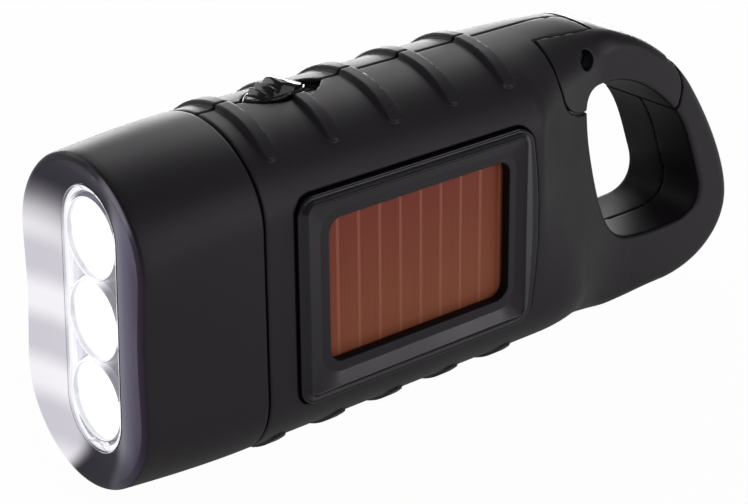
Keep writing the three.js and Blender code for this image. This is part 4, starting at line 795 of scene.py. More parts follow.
def head_rings(x, inset=0.0):
    """Rings of the head's skin: the rim's round at the front, then a swell to the seam."""
    x = np.asarray(x, float)
    along = x + FRONT
    swell = np.sin(np.clip(along / (HEAD_LENGTH + FRONT), 0, 1) * math.pi / 2)
    back = np.maximum(RIM_ROUND - along, 0)
    rim = RIM_ROUND - np.sqrt(np.maximum(RIM_ROUND**2 - back**2, 0)) + inset
    width = RIM_WIDTH + (HALF_WIDTH - RIM_WIDTH) * swell - rim
    height = RIM_HEIGHT + (HALF_HEIGHT - RIM_HEIGHT) * swell - rim
    crown = width * (RIM_CROWN + (CROWN - RIM_CROWN) * swell)
    shoulder = width * (RIM_SHOULDER + (SHOULDER - RIM_SHOULDER) * swell)
    return rings_at(x, *section(width, height, crown, shoulder, RIM_WAIST * (1 - swell)))


def stadium_rings(x, width, height):
    """Rings that are stadiums: a section whose crown and shoulder have its half width."""
    x = np.asarray(x, float)
    width = np.broadcast_to(np.asarray(width, float), x.shape)
    height = np.broadcast_to(np.asarray(height, float), x.shape)
    return rings_at(x, *section(width, height, width, width))


def head_skin():
    """One closed skin: back seam, outside, rim, dish, lens opening and the bore behind. The
    short tables are the small steps that round off the seam and the opening."""
    seam, seam_inset = HEAD_LENGTH - np.array([0, 0.06, 0.3]), (0.3, 0.12, 0.0)
    outside = np.concatenate([
        np.linspace(HEAD_LENGTH - 0.6, 0, 56),
        -FRONT + RIM_ROUND * (1 - np.sin(np.linspace(0.15, math.pi / 2, 12))),
    ])
    share = np.linspace(0, 1, 44)[:, None, None]
    edge = head_rings([-FRONT + RIM_ROUND], RIM_INSET)
    opening = stadium_rings([0], CUPS_WIDTH, CUPS_HEIGHT)
    dish = edge * (1 - share) + opening * share
    dish[..., 0] = DISH_DEPTH * np.sin(share[..., 0] * math.pi / 2) - FRONT
    land = edge.copy()
    land[..., 0] = -FRONT
    deep, inset = DISH_FLOOR + np.array([0.08, 0.25, 1.9, 2]), np.array([0.04, 0.1, 0.1, 0.1])
    mouth = stadium_rings(deep, CUPS_WIDTH - inset, CUPS_HEIGHT - inset)
    bore_sizes = BORE_WIDTH, BORE_HEIGHT, BORE_WIDTH * CROWN, BORE_WIDTH * SHOULDER
    bore = rings_at(
        [DISH_FLOOR + 2, DISH_FLOOR + 2.1, HEAD_LENGTH - 0.1, HEAD_LENGTH],
        *section(*(np.full(4, size) for size in bore_sizes)),
    )
    seam_rings = [head_rings([place], inset) for place, inset in zip(seam, seam_inset)]
    rings = np.concatenate([*seam_rings, head_rings(outside), land, dish, mouth, bore])
    points, faces = loft(leaned(rings), closed=True)
    return points, outward(points, faces)


def stadium(y, z, width, height):
    """Distance to a stadium, a circle stretched along Z."""
    return np.hypot(y, np.maximum(np.abs(z) - height + width, 0)) - width


def unleaned(x, z):
    """The place that a point had before the face leaned back."""
    return (x - FACE_LEAN * z) / (1 - FACE_LEAN * z / HEAD_LENGTH)


def reflector_field(x, y, z):
    """Three polished bowls in one block. A raised lip runs round the block, each bowl has a
    rim of its own, and the floor between them is sunk. A bowl's depth falls with the square
    of the radius; a flange behind the face holds the block."""
    x = unleaned(x, z) - BOWL_FRONT
    shape = stadium(y, z, CUPS_WIDTH - FIT, CUPS_HEIGHT - FIT)
    block = both(shape, -x, 0.25)
    apart = np.minimum.reduce([np.hypot(y, z - place) for place in LAMPS])
    rim = np.maximum(apart - CUP_RADIUS - BOWL_RIM, 0.05 - x)
    floor = np.maximum(shape + LIP_WIDTH, x - FLOOR_SUNK)
    solid = np.minimum(cut(block, floor, 0.2), rim)
    flange = stadium(y, z, FLANGE_WIDTH, FLANGE_HEIGHT)
    flange = np.maximum(flange, np.abs(x + BOWL_FRONT - FLANGE_X) - FLANGE_HALF)
    long = BLOCK_BACK - BOWL_FRONT
    solid = np.minimum(np.maximum(solid, x - long), flange)
    radius = CUP_RADIUS - BOWL_LIP
    depth = (radius**2 - apart**2) / (radius**2 - LAMP_HOLE**2) * long
    bowl = np.maximum((x - depth) * 0.55, apart - radius)
    bowl = np.where(apart < LAMP_HOLE, apart - LAMP_HOLE, bowl)
    return cut(solid, bowl, 0.12)


def in_dish(x, y, z):
    """Whether a place is in the dish, on the polished part of its rim or in the mouth."""
    front = x - FACE_LEAN * z
    dish = stadium(y, z, RIM_WIDTH - RIM_INSET, RIM_HEIGHT - RIM_INSET) < 0
    dish &= front < 0.3
    rim = (front < RIM_ROUND - FRONT) & (y > 3.0)
    rim |= (front < RIM_ROUND / 3 - FRONT) & (y < -3.0)
    mouth = stadium(y, z, CUPS_WIDTH + 0.1, CUPS_HEIGHT + 0.1) < 0
    return dish | rim | (mouth & (front < DISH_FLOOR + 2.05))


def make_head(step):
    """The head's skin, the lens plate as a loft of stadiums, the bowls, and the lamps as
    turned profiles: a collar, a straight stem and a dome that is a quarter circle."""
    points, faces = head_skin()
    piece = put("head_case", points, faces, "torch", "shell_plastic", "head_shell")
    # The dish, its mouth and part of the rim take the dish's painted light.
    repaint(piece, "dish", in_dish)
    half_width, half_height = CUPS_WIDTH - LENS_FIT, CUPS_HEIGHT - LENS_FIT
    inset = np.array([1.2, 0.6, 0.2, 0.12, 0.03, 0, 0, 0.03, 0.12, 0.2, 0.6, 1.2])
    depth = np.array([0, 0, 0, 0, 0.03, 0.1, 0.3, 0.37, 0.4, 0.4, 0.4, 0.4]) + DISH_FLOOR
    rings = stadium_rings(depth, half_width - inset, half_height - inset)
    points, faces = loft(leaned(rings))
    put("lens_plate", points, outward(points, faces), "torch", "clear_lens", "lens")
    shaped("reflector_bowls", reflector_field, (-0.6, -9.2, -23.6), (8.6, 9.2, 23.6), step,
           "torch", "chrome_reflector", "reflector")
    for number, place in enumerate(LAMPS, 1):
        dome = math.pi / 2 - np.linspace(0, math.pi / 2, 14)
        profile = [(0.0, BLOCK_BACK), (COLLAR_RADIUS, BLOCK_BACK), (COLLAR_RADIUS, COLLAR_X),
                   (LAMP_RADIUS, COLLAR_X - 0.05)]
        centre = BLOCK_BACK - LAMP_LENGTH + LAMP_RADIUS
        profile += [
            (LAMP_RADIUS * math.sin(a), centre - LAMP_RADIUS * math.cos(a)) for a in dome
        ]
        points, faces = turned(rounded(profile[:5], 0.1, 3).tolist() + profile[5:], 0,
                               (0, 0, place), 48)
        put(f"lamp_{number}", leaned(points), faces, "torch", "led_resin", f"led_{number}")


# Solar panel

WINDOW = (31.8, 68.8, 11.95, 2.3, 0.0)
WINDOW_RISE, CREST_RISE = 0.65, 0.3
CREST_RING = (27.1, 71.9, 15.9, 1.6, 0.0)
STEP_WIDTH, LAND = 1.2, CREST - 0.95
BEAD_HEIGHT, BEAD_REACH = 0.2, 0.36
FLANK_FALL, SLOPE_FALL, FRAME_BACK, REBATE_FLOOR = 1.25, 0.9, 13.8, 15.1
REBATE, CELL = (30.5, 70.0, 13.2, 0.6, 0.0), (30.9, 69.6, 12.85, 0.5, 0.0)
CELL_MIDDLE, CELL_HALF, PANEL_GRID, PANEL_LEAST = 14.35, 0.45, 0.8, 0.2


def bezel_field(x, y, z):
    """The frame: its height climbs the flank from the outer edge to the crest, then falls
    in a straight share of the way to a flat land round the window."""
    out = -y
    outer = ring_field(x, z, *BEZEL)
    crest = ring_field(x, z - CREST_RISE, *CREST_RING)
    window = ring_field(x, z - WINDOW_RISE, *WINDOW)
    top = CREST - BEAD_HEIGHT
    flank = top - FLANK_FALL * crest / np.maximum(crest - outer, 0.3)
    way = np.maximum(window - STEP_WIDTH - crest, 0.3)
    slope_height = top + SLOPE_FALL * crest / way
    height = either(flank, slope_height, 0.1)
    height = height + BEAD_HEIGHT * np.clip(1 - (crest / BEAD_REACH) ** 2, 0, 1)
    height = np.where(window < STEP_WIDTH, LAND, np.maximum(height, LAND))
    frame_body = both((out - height) * 0.9, outer, 0.35)
    frame_body = cut(frame_body, window, 0.18)
    rebate = np.maximum(ring_field(x, z - WINDOW_RISE, *REBATE), out - REBATE_FLOOR)
    frame_body = cut(frame_body, rebate, 0.05)
    return np.maximum(frame_body, FRAME_BACK - out)


def make_panel(step):
    """The frame and the cell, a plate that fills the frame's rebate."""
    step = max(step * PANEL_GRID, PANEL_LEAST)
    rim = shaped("panel_frame", bezel_field, (25.2, -18.2, -18), (76.3, -13.4, 18), step,
                 "torch", "bezel_plastic", "solar_bezel")
    # The window's wall gets the duller finish, as painted shade.
    repaint(rim, "wall_plastic",
            lambda x, y, z: np.abs(ring_field(x, z - WINDOW_RISE, *WINDOW)) < ON_WALL)

    def cell(x, y, z):
        plate = ring_field(x, z - WINDOW_RISE, *CELL)
        return both(plate, np.abs(-y - CELL_MIDDLE) - CELL_HALF, 0.1)

    shaped("panel_cell", cell, (30.4, -15.6, -13), (70.2, -13.7, 14.2), step,
           "torch", "solar_film", "solar_cell")


# Slide switch

HULL_TOP, HULL_FOOT, HULL_FALL = 28.05, 26.7, 0.5
HUMP_FOOT, HUMP_HALF, HUMP_BOW, HUMP_DRAFT, HUMP_INSET = 27.0, 2.75, 0.06, 0.3, 0.3
STEM_X, STEM_RADIUS, STEM_MIDDLE, STEM_HALF = 35.1, 1.3, 26.0, 1.2
DECK = smoothed(
    (28.0, 29.6, 30.9, 31.7, 32.35, 33.15, 33.8, 34.7, 35.8, 37.4, 39.2, 41.2),
    (27.5, 27.8, 28.1, 28.9, 28.5, 29.45, 29.05, 29.85, 29.8, 29.2, 28.4, 27.5),
)


def switch_field(x, y, z):
    """The thumb piece: a boat with a low deck, and on it a hump that climbs in steps from the
    front to a ridge and falls away behind, its flanks drawn in towards the top."""
    plan = boat(x, y)
    deck = HULL_TOP - HULL_FALL * ((x - BOAT_MIDDLE) / BOAT_HALF) ** 2
    hull = both(plan, np.maximum(z - deck, HULL_FOOT - z), 0.3)
    top = np.interp(x, *DECK) - HUMP_BOW * y * y
    flank = np.abs(y) - HUMP_HALF + HUMP_DRAFT * (z - HALF_HEIGHT)
    flank = np.maximum(flank, plan + HUMP_INSET)
    hump = both(np.maximum((z - top) * 0.7, HUMP_FOOT - z), flank, 0.35)
    whole = either(hull, hump, 0.15)
    stem = np.hypot(x - STEM_X, y) - STEM_RADIUS
    stem = np.maximum(stem, np.abs(z - STEM_MIDDLE) - STEM_HALF)
    return np.minimum(whole, stem)


def make_switch(step):
    """The thumb piece of the slide switch."""
    shaped("switch_slide", switch_field, (28.3, -4.2, 24.5), (41.9, 4.2, 30.2), step, "slide",
           "gloss_black", "switch_knob")


# Crank

ARM_INNER, ARM_OUTER, ARM_REACH, HUB_RADIUS, ARM_TIP = 17.1, 23.5, 38.0, 8.4, 7.4
TIP_X, KNOB_Y, KNOB_RADIUS, KNOB_END = HUB_X + ARM_REACH, 21.3, 3.9, 0.9
ROOM_X, ROOM_HALF_LENGTH, ROOM_HALF, HINGE_START = 79.35, 12.05, 4.3, 3.5
SINK_RADIUS, SINK_DEPTH, HUB_BORE, BORE_DEPTH = 3.7, 1.4, 3.0, 3.5
HINGE_BORE, HINGE_PIN, HINGE_HALF, BARREL_RADIUS, BARREL_HALF = 1.35, 1.2, 6.5, 3.0, 4.0
KNOB_START, KNOB_LENGTH, KNOB_BORE, BORE_REACH = TIP_X - 3.3, 17.0, 1.65, 12.5
SPINDLE_RADIUS, SPINDLE_MIDDLE, SPINDLE_HALF = 1.5, 80.0, 7.5
ARM_SCREW, ARM_SHANK = (22.4, 23.5, 3.4), (1.2, 19.2, 3.5)
CASE_SCREW, CASE_SHANK = (6.3, 7.9, 2.5), (1.25, 0.0, 7.0)
CROSS_NARROW, CROSS_WIDE, CROSS_TAPER, CROSS_DEPTH, AROUND = 0.14, 0.55, 0.25, 0.75, 0.3
WAIST, FAR_ROUND, NEAR_ROUND = 0.35, 1.0, 0.8


def arm_field(x, y, z):
    """A flat arm between two circles, with a window for the folded knob and a screw seat."""
    along, side = x - HUB_X, np.abs(z)
    lean = (HUB_RADIUS - ARM_TIP) / ARM_REACH
    rest = math.sqrt(1 - lean**2)
    way = along * rest - side * lean
    flat = side * rest + along * lean - HUB_RADIUS
    tip = np.hypot(along - ARM_REACH, side) - ARM_TIP
    outline = np.where(
        way < 0, np.hypot(along, side) - HUB_RADIUS, np.where(way > ARM_REACH * rest, tip, flat),
    )
    middle, half = (ARM_INNER + ARM_OUTER) / 2, (ARM_OUTER - ARM_INNER) / 2
    arm = both(outline, np.abs(y - middle) - half, 0.9)
    window = both(side - ROOM_HALF, np.abs(x - ROOM_X) - ROOM_HALF_LENGTH, 0.6)
    arm = cut(arm, window, 0.3)
    radius = np.hypot(along, z)
    arm = cut(arm, np.maximum(radius - SINK_RADIUS, ARM_OUTER - SINK_DEPTH - y), 0.25)
    arm = cut(arm, np.maximum(radius - HUB_BORE, y - ARM_INNER - BORE_DEPTH), 0.15)
    hinge = np.hypot(x - TIP_X, y - KNOB_Y) - HINGE_BORE
    return cut(arm, np.maximum(hinge, HINGE_START - side), 0.12)


def make_screw(name, centre, head, shank, low, high, step, body, node):
    """A screw along Y: a head with a domed edge and a tapered cross recess, given by its
    underside, top and radius, and a plain shank, given by its radius, middle and half."""
    under, top, radius = head
    shank_radius, shank_middle, shank_half = shank

    def field(x, y, z):
        dx, dz = x - centre[0], z - centre[1]
        apart = np.hypot(dx, dz)
        dome = both(apart - radius, y - top, 0.35)
        narrow, wide = radius * CROSS_NARROW, radius * CROSS_WIDE
        taper = (top - y) * CROSS_TAPER
        across = np.maximum(np.abs(dx) - wide + taper, np.abs(dz) - narrow + taper * 0.5)
        along = np.maximum(np.abs(dz) - wide + taper, np.abs(dx) - narrow + taper * 0.5)
        floor = top - (top - under) * CROSS_DEPTH
        recess = np.maximum(np.minimum(across, along), floor - y)
        whole = np.maximum(cut(dome, recess, 0.06), under - y)
        return np.minimum(
            whole, np.maximum(apart - shank_radius, np.abs(y - shank_middle) - shank_half),
        )

    reach = radius + AROUND
    shaped(name, field, (centre[0] - reach, low, centre[1] - reach),
           (centre[0] + reach, high, centre[1] + reach), step, body, "steel", node)


def knob_profile():
    """The grip: a far end rounded by a quarter ellipse, a waist drawn in by a sine squared,
    a near end rounded alike, and the spindle's bore."""
    start, end = KNOB_START, KNOB_START - KNOB_LENGTH
    share = np.linspace(0, 1, 40)
    waist = KNOB_RADIUS - WAIST * np.sin(share * math.pi) ** 2
    places = end + KNOB_END + share * (KNOB_LENGTH - 2 * KNOB_END)
    nose = math.pi / 2 * np.linspace(0, 1, 8)[1:-1]
    far, near = KNOB_RADIUS - FAR_ROUND, KNOB_RADIUS - NEAR_ROUND
    profile = [(0, end), (far, end)]
    for a in nose:
        profile.append((far + FAR_ROUND * math.sin(a), end + KNOB_END * (1 - math.cos(a))))
    profile += list(zip(waist, places))
    for a in nose:
        profile.append((near + NEAR_ROUND * math.cos(a), start - KNOB_END * (1 - math.sin(a))))
    floor = start - BORE_REACH
    return profile + [(near, start), (KNOB_BORE, start), (KNOB_BORE, floor), (0, floor)]


def make_crank(step):
    """The arm, its screw, the knob, and the hinge: a barrel across the arm with a round
    spindle along it."""
    shaped("crank_lever", arm_field, (41, 16.6, -9), (96, 24, 9), step, "crank",
           "shell_plastic", "crank_arm")
    make_screw("crank_screw", (HUB_X, 0), ARM_SCREW, ARM_SHANK, 15.4, 23.8, 0.14,
               "crank", "arm_screw")
    points, faces = turned(knob_profile(), 0, (0, KNOB_Y, 0), 72)
    put("knob_grip_sleeve", points, faces, "knob_grip", "gate_plastic", "knob")

    def spindle(x, y, z):
        radius = np.hypot(x - TIP_X, y - KNOB_Y)
        barrel = both(radius - BARREL_RADIUS, np.abs(z) - BARREL_HALF, 0.3)
        shank = np.hypot(y - KNOB_Y, z) - SPINDLE_RADIUS
        shank = np.maximum(shank, np.abs(x - SPINDLE_MIDDLE) - SPINDLE_HALF)
        return cut(either(barrel, shank, 0.4), radius - HINGE_BORE, 0.15)

    shaped("knob_hinge", spindle, (72, 17.9, -4.3), (91.3, 24.6, 4.3), step, "knob_fork",
           "shell_plastic", "knob_spindle")
    make_pin("knob_pin", HINGE_PIN, HINGE_HALF, 0.25, 2, (TIP_X, KNOB_Y, 0), 36,
             "crank", "knob_hinge_pin")


def make_screws():
    """The case screws, all alike."""
    for number, place in enumerate(SCREWS, 1):
        make_screw(f"case_screw_head_{number}", place, CASE_SCREW, CASE_SHANK, -7.3, 8.2,
                   0.16, "torch", f"case_screw_{number}")


# Finishes


def stadium_gap(y, z, width, height):
    """Distance in a material to a stadium stretched along Z, below zero inside it."""
    beyond = z.math("ABSOLUTE") - (height - width)
    beyond = beyond.math("MAXIMUM", 0.0)
    return (beyond * beyond + y * y) ** 0.5 - width


def from_lamp(z):
    """How far a height is above or below the nearest lamp's middle."""
    half = LAMP_PITCH / 2
    return half - (z + 5 * half).math("PINGPONG", half)


def dish_finish():
    """Polished dish lit by the lamps: pale on the far side and palest beside each lamp, dark
    grey at the ends, and on the near side a violet sheen with faint streaks that dies away
    towards the rim, where a light line and a dark fold follow the upper corner."""
    paint = Paint("dish")
    _, y, z = paint.axes()
    # Painted reflection: pale on the far side, dying out above and below.
    painted_lit = y.spread(-1.0, 5.0) * (z - y * 0.15).spread(19.3, 7.0)
    painted_lit = painted_lit * (z + y * 1.2).spread(-22.5, -17.0)
    angle = y.math("ARCTAN2", z)
    streaks = paint.streaks(angle * 26.0)
    # Painted violet sheen on the near side, darkest towards the rim, with painted streaks.
    violet = y.spread(-7.2, -16.4).bands(
        (0.0, (0.23, 0.22, 0.26)), (0.10, (0.145, 0.136, 0.195)),
        (0.35, (0.090, 0.080, 0.125)), (0.65, (0.048, 0.038, 0.066)),
        (1.0, (0.022, 0.015, 0.026)),
    )
    violet = paint.mix(streaks.spread(0.3, 0.75) * 0.4, violet, (0.02, 0.014, 0.026))
    height = z.math("ABSOLUTE")
    # The near side keeps the painted sheen; the ends get a painted dark grey shade.
    beside = y.spread(-5.0, -7.4) * height.spread(22.0, 17.0, 0.25, 1.0)
    gap = stadium_gap(y, z, RIM_WIDTH, RIM_HEIGHT)
    # A painted highlight line and a painted dark shade line along the rim's upper near corner.
    edge = gap.between(-1.25, -0.95, -0.45, -0.1)
    painted_fold_shade = gap.between(-1.9, -1.65, -1.35, -1.1) * 0.8
    corner = z.between(17.5, 20.5, 24.5, 27.5) * y.spread(-5.0, -9.0)
    dark = paint.mix(beside, (0.030, 0.028, 0.036), violet)
    dark = paint.mix(painted_fold_shade * corner, dark, (0.022, 0.018, 0.028))
    dark = paint.mix(edge * corner, dark, (0.150, 0.138, 0.165))
    # Painted glow, palest beside each lamp.
    apart = from_lamp(z)
    cloud = paint.noise(0.08, 2.0) * 0.3 - 0.15
    bright = apart.spread(5.2, 0.8) + cloud
    bright = paint.mix(bright, (0.60, 0.58, 0.64), (0.90, 0.88, 0.92))
    rough = paint.noise(0.2, 2.0) * 0.1 + 0.25
    # The dish's whole colour is painted light, fed to the emission.
    paint.surface(
        (0.010, 0.008, 0.012), rough, Specular_IOR_Level=0.03,
        Emission_Color=paint.mix(painted_lit, dark, bright), Emission_Strength=1.0,
    )


def chrome_finish():
    """Mirror coating with a trace of haze. The bowls and the lip round them glow from the
    lamps; thin grey rings lie inside and outside each bowl's rim, and the sunk floor stays
    darker at either end and between the bowls on the near side."""
    paint = Paint("chrome_reflector")
    _, y, z = paint.axes()
    apart = from_lamp(z)
    radius = (apart * apart + y * y) ** 0.5
    end = z.math("ABSOLUTE")
    gap = stadium_gap(y, z, CUPS_WIDTH - FIT, CUPS_HEIGHT - FIT)
    # Painted shade on the sunk floor, at the ends and on the near side.
    floor = radius.spread(6.25, 6.45) * gap.spread(-0.75, -0.95)
    near = y.spread(0.0, -4.0, 0.15, 0.85)
    shade = near.math("MAXIMUM", end.spread(17.0, 18.5)) * floor
    # Painted grey rings inside and outside each bowl's rim.
    ring = radius.between(5.85, 5.95, 6.15, 6.25) * 0.55
    outer = radius.between(6.75, 6.85, 7.0, 7.15) * 0.6
    ring = ring.math("MAXIMUM", outer * floor)
    lip = gap.spread(-0.9, -0.6)
    # Painted glow in the bowls and on the lip, though they are no lamp.
    glow = floor * radius.spread(6.8, 7.0)
    glow = paint.mix(glow, (1.0, 1.0, 1.0), (0.62, 0.60, 0.65))
    glow = paint.mix(lip, glow, (0.8, 0.8, 0.82))
    glow = paint.mix(shade, glow, (0.05, 0.045, 0.065))
    glow = paint.mix(ring, glow, (0.25, 0.24, 0.28))
    haze = paint.noise(0.35, 3.0)
    # The base tint takes the painted shade and the painted rings too.
    tint = paint.mix(haze, (0.36, 0.37, 0.40), (0.48, 0.48, 0.50))
    tint = paint.mix(shade, tint, (0.06, 0.055, 0.08))
    tint = paint.mix(ring, tint, (0.2, 0.2, 0.22))
    paint.surface(
        tint, haze * 0.06 + 0.06, Metallic=1.0, Emission_Color=glow, Emission_Strength=0.95,
    )


def lamp_finish():
    """Lit resin: white light, a little cooler towards the dome's foot."""
    paint = Paint("led_resin")
    x, *_ = paint.axes()
    light = paint.mix(x.spread(1.0, 7.0), (1.0, 1.0, 1.0), (0.80, 0.86, 1.0))
    paint.surface(
        (0.9, 0.9, 0.92), paint.noise(0.6) * 0.08 + 0.12,
        Emission_Color=light, Emission_Strength=1.1,
    )


def lens_finish():
    """Clear sheet with faint unevenness in its polish."""
    paint = Paint("clear_lens")
    tint = paint.mix(paint.noise(0.1), (0.96, 0.97, 1.0), (1.0, 1.0, 1.0))
    paint.surface(
        tint, paint.noise(0.25) * 0.02 + 0.01, Transmission_Weight=1.0, IOR=1.47,
    )


def cell_finish(looks):
    """Thin film under resin: strips between pale lines, fine striations and clouds."""
    paint = Paint("solar_film")
    x, _, z = paint.axes()
    strip = (x - looks.first_line) / looks.line_pitch + 20.5
    place = strip.math("FRACT") - 0.5
    apart = place.math("ABSOLUTE") * looks.line_pitch
    line = apart.spread(0.40, 0.12)
    streak = paint.streaks(x * 1.5, Roughness=0.7)
    cloud = paint.noise(0.05, 2.0)
    # Painted shading: the share of the way from the lit lower tail corner to the shaded upper
    # front.
    painted_light_level = (z - x * 0.12).spread(-20.0, 10.0)
    low, high = looks.cell_lit_low, looks.cell_shaded_high
    body = paint.mix(painted_light_level * 0.7 + cloud * 0.3, low, high)
    body = paint.mix(streak.spread(0.38, 0.62) * 0.55, body, (0.22, 0.048, 0.032))
    colour = paint.mix(line * 0.72, body, looks.line_colour)
    depth = paint.bump(line, 0.02)
    paint.surface(
        colour, streak * 0.1 + 0.3, Normal=depth, Specular_IOR_Level=0.15,
        Coat_Weight=0.06, Coat_Roughness=0.12,
    )


def board_finish():
    """Green solder mask over copper runs, with darker bands where runs lie below."""
    paint = Paint("circuit_board")
    runs = paint.node("ShaderNodeTexVoronoi", {"distance": "MANHATTAN"}, paint.here(), Scale=420.0)
    edge = runs.spread(0.35, 0.42)
    colour = paint.mix(edge, (0.030, 0.17, 0.075), (0.016, 0.095, 0.045))
    paint.surface(colour, paint.noise(0.8) * 0.12 + 0.32, Normal=paint.bump(edge, 0.03))


def winding_finish():
    """Enamelled wire: fine turns side by side round the coil."""
    paint = Paint("copper_wire")
    _, y, _ = paint.axes()
    turn = (y * 21.0).math("SINE")
    # Painted highlight and painted shade across each turn, from the sine of the place.
    shade = turn.spread(-1.0, 1.0)
    colour = paint.mix(shade, (0.24, 0.085, 0.03), (0.62, 0.27, 0.11))
    rough = shade * 0.15 + 0.25
    paint.surface(colour, rough, Metallic=1.0, Normal=paint.bump(shade, 0.05))


def sleeve_finish():
    """Shrunk sleeve: gloss with soft folds round the cells."""
    paint = Paint("battery_sleeve")
    folds = paint.node("ShaderNodeTexNoise", None, paint.here(), Scale=350.0, Detail=2.0)
    colour = paint.mix(folds, (0.035, 0.20, 0.085), (0.06, 0.30, 0.13))
    paint.surface(colour, folds * 0.15 + 0.2, Normal=paint.bump(folds, 0.06))


def make_paints(looks):
    """All finishes. Each is kept in PAINTS under its slot's name."""
    shell, grain = looks.shell_colour, looks.grain_depth
    moulded("shell_plastic", shell, 0.48, 3.2, grain)
    moulded("gate_plastic", looks.gate_colour, 0.40, 3.2, grain * 0.6)
    moulded("bezel_plastic", looks.bezel_colour, 0.24, 2.0, grain * 0.25)
    # A duller copy of the shell's finish: painted shade for the walls of hollows.
    moulded("wall_plastic", shell, 0.55, shine=0.14)
    moulded("gloss_black", (0.006, 0.006, 0.007), 0.13, sheen_spread=0.03)
    cell_finish(looks)
    moulded("foam", (0.03, 0.03, 0.03), 0.9, 2.5, 0.12, 0.04)
    for finish in (lens_finish, chrome_finish, lamp_finish, board_finish):
        finish()
    metal("steel", (0.56, 0.57, 0.60), 0.32)
    moulded("white_acetal", (0.78, 0.75, 0.68), 0.42, 2.0, 0.006)
    winding_finish()
    moulded("ferrite", (0.05, 0.05, 0.055), 0.55, 5.0, 0.02)
    sleeve_finish()
    metal("brass", (0.66, 0.48, 0.20), 0.28)
    dish_finish()


def dress_nodes():
    """Gives each CAD node the finish that its record names; pieces that replace a node bring
    their own."""
    for part in frame["record"]["subparts"]:
        node = frame["nodes"][part["node"]]
        node.data.materials.clear()
        node.data.materials.append(PAINTS[part["material_slot"]])


class Looks(bpy.types.PropertyGroup):
    """Colours and sizes of the finishes and the fineness of the moulded pieces."""

    shell_colour: FloatVectorProperty(
        name="Body", description="Moulded body and head", subtype="COLOR",
        default=(0.0088, 0.0066, 0.0088),
    )
    gate_colour: FloatVectorProperty(
        name="Gate", description="Gate and crank knob", subtype="COLOR",
        default=(0.0088, 0.0066, 0.0088),
    )
    bezel_colour: FloatVectorProperty(
        name="Panel frame", description="Frame of the solar panel", subtype="COLOR",
        default=(0.0090, 0.0075, 0.0100),
    )
    # The cell's two colours hold painted shading: lit at the lower edge, shaded at the upper edge.
    cell_lit_low: FloatVectorProperty(
        name="Cell, lower", description="Film at the lower edge", subtype="COLOR",
        default=(0.47, 0.155, 0.070),
    )
    cell_shaded_high: FloatVectorProperty(
        name="Cell, upper", description="Film at the upper edge", subtype="COLOR",
        default=(0.34, 0.064, 0.045),
    )
    line_colour: FloatVectorProperty(
        name="Cell lines", description="Pale lines between the strips", subtype="COLOR",
        default=(0.52, 0.19, 0.12),
    )
    first_line: FloatProperty(
        name="First line", description="Millimetres behind the lamps", default=34.85,
    )
    line_pitch: FloatProperty(
        name="Line pitch", description="Millimetres from line to line", default=4.2,
    )
    grain_depth: FloatProperty(
        name="Grain depth", description="Millimetres of moulded texture", default=0.008,
    )
    shell_step: FloatProperty(
        name="Body grid", description="Millimetres between the body's points", default=0.42,
    )
    fine_step: FloatProperty(
        name="Fine grid", description="Millimetres between a small piece's points", default=0.24,
    )


class StageSizes(bpy.types.PropertyGroup):
    """The camera's view and the floor's colour."""

    focal: FloatProperty(
        name="Focal length", description="Lens on a 36 mm wide sensor", default=106.88,
    )
    distance: FloatProperty(
        name="Camera distance", description="From the point looked at",
        default=0.3634, unit="LENGTH",
    )
    azimuth: FloatProperty(
        name="Camera azimuth", description="Turned from the solar side",
        default=math.radians(-39.93), unit="ROTATION",
    )
    elevation: FloatProperty(
        name="Camera elevation", description="Above the floor",
        default=math.radians(23.93), unit="ROTATION",
    )
    roll: FloatProperty(
        name="Camera roll", description="Lean of the picture",
        default=math.radians(-0.52), unit="ROTATION",
    )
    floor_colour: FloatVectorProperty(
        name="Floor", description="Colour of the floor", subtype="COLOR",
        default=(0.82, 0.82, 0.82),
    )


class FLASHLIGHT_OT_stage(bpy.types.Operator):
    """Makes the floor, the camera at the photograph's view and the soft lamps"""

    bl_idname = "flashlight.stage"
    bl_label = "Stage"

    def execute(self, context):
        sizes = context.scene.flashlight_stage
        make_floor(sizes)
        make_camera(sizes)
        for values in SOFT_LAMPS:
            lamp(*values)
        make_world()
        scene = context.scene
        scene.view_settings.view_transform = "Standard"
        return {"FINISHED"}


def make_floor(sizes):
    """A flat square of floor, wide enough that its edge is never seen."""
    mesh = bpy.data.meshes.new("floor")
    corners = [(x * FLOOR_REACH, y * FLOOR_REACH, 0)
               for x, y in ((-1, -1), (1, -1), (1, 1), (-1, 1))]
    mesh.from_pydata(corners, [], [(0, 1, 2, 3)])
    floor = bpy.data.objects.new("floor", mesh)
    bpy.context.scene.collection.objects.link(floor)
    paint = Paint("floor_card")
    card = paint.node(
        "ShaderNodeBsdfPrincipled", None,
        Base_Color=sizes.floor_colour, Roughness=0.9,
    )
    glow = paint.node("ShaderNodeEmission", None, Color=(1, 1, 1), Strength=1.0)
    rays = paint.node("ShaderNodeLightPath").socket.node.outputs
    seen = Value(paint, rays["Is Camera Ray"])
    mixed = paint.node("ShaderNodeMixShader", None, seen * FLOOR_SEEN + FLOOR_GLOW, card, glow)
    paint.finish(mixed)
    mesh.materials.append(paint.material)


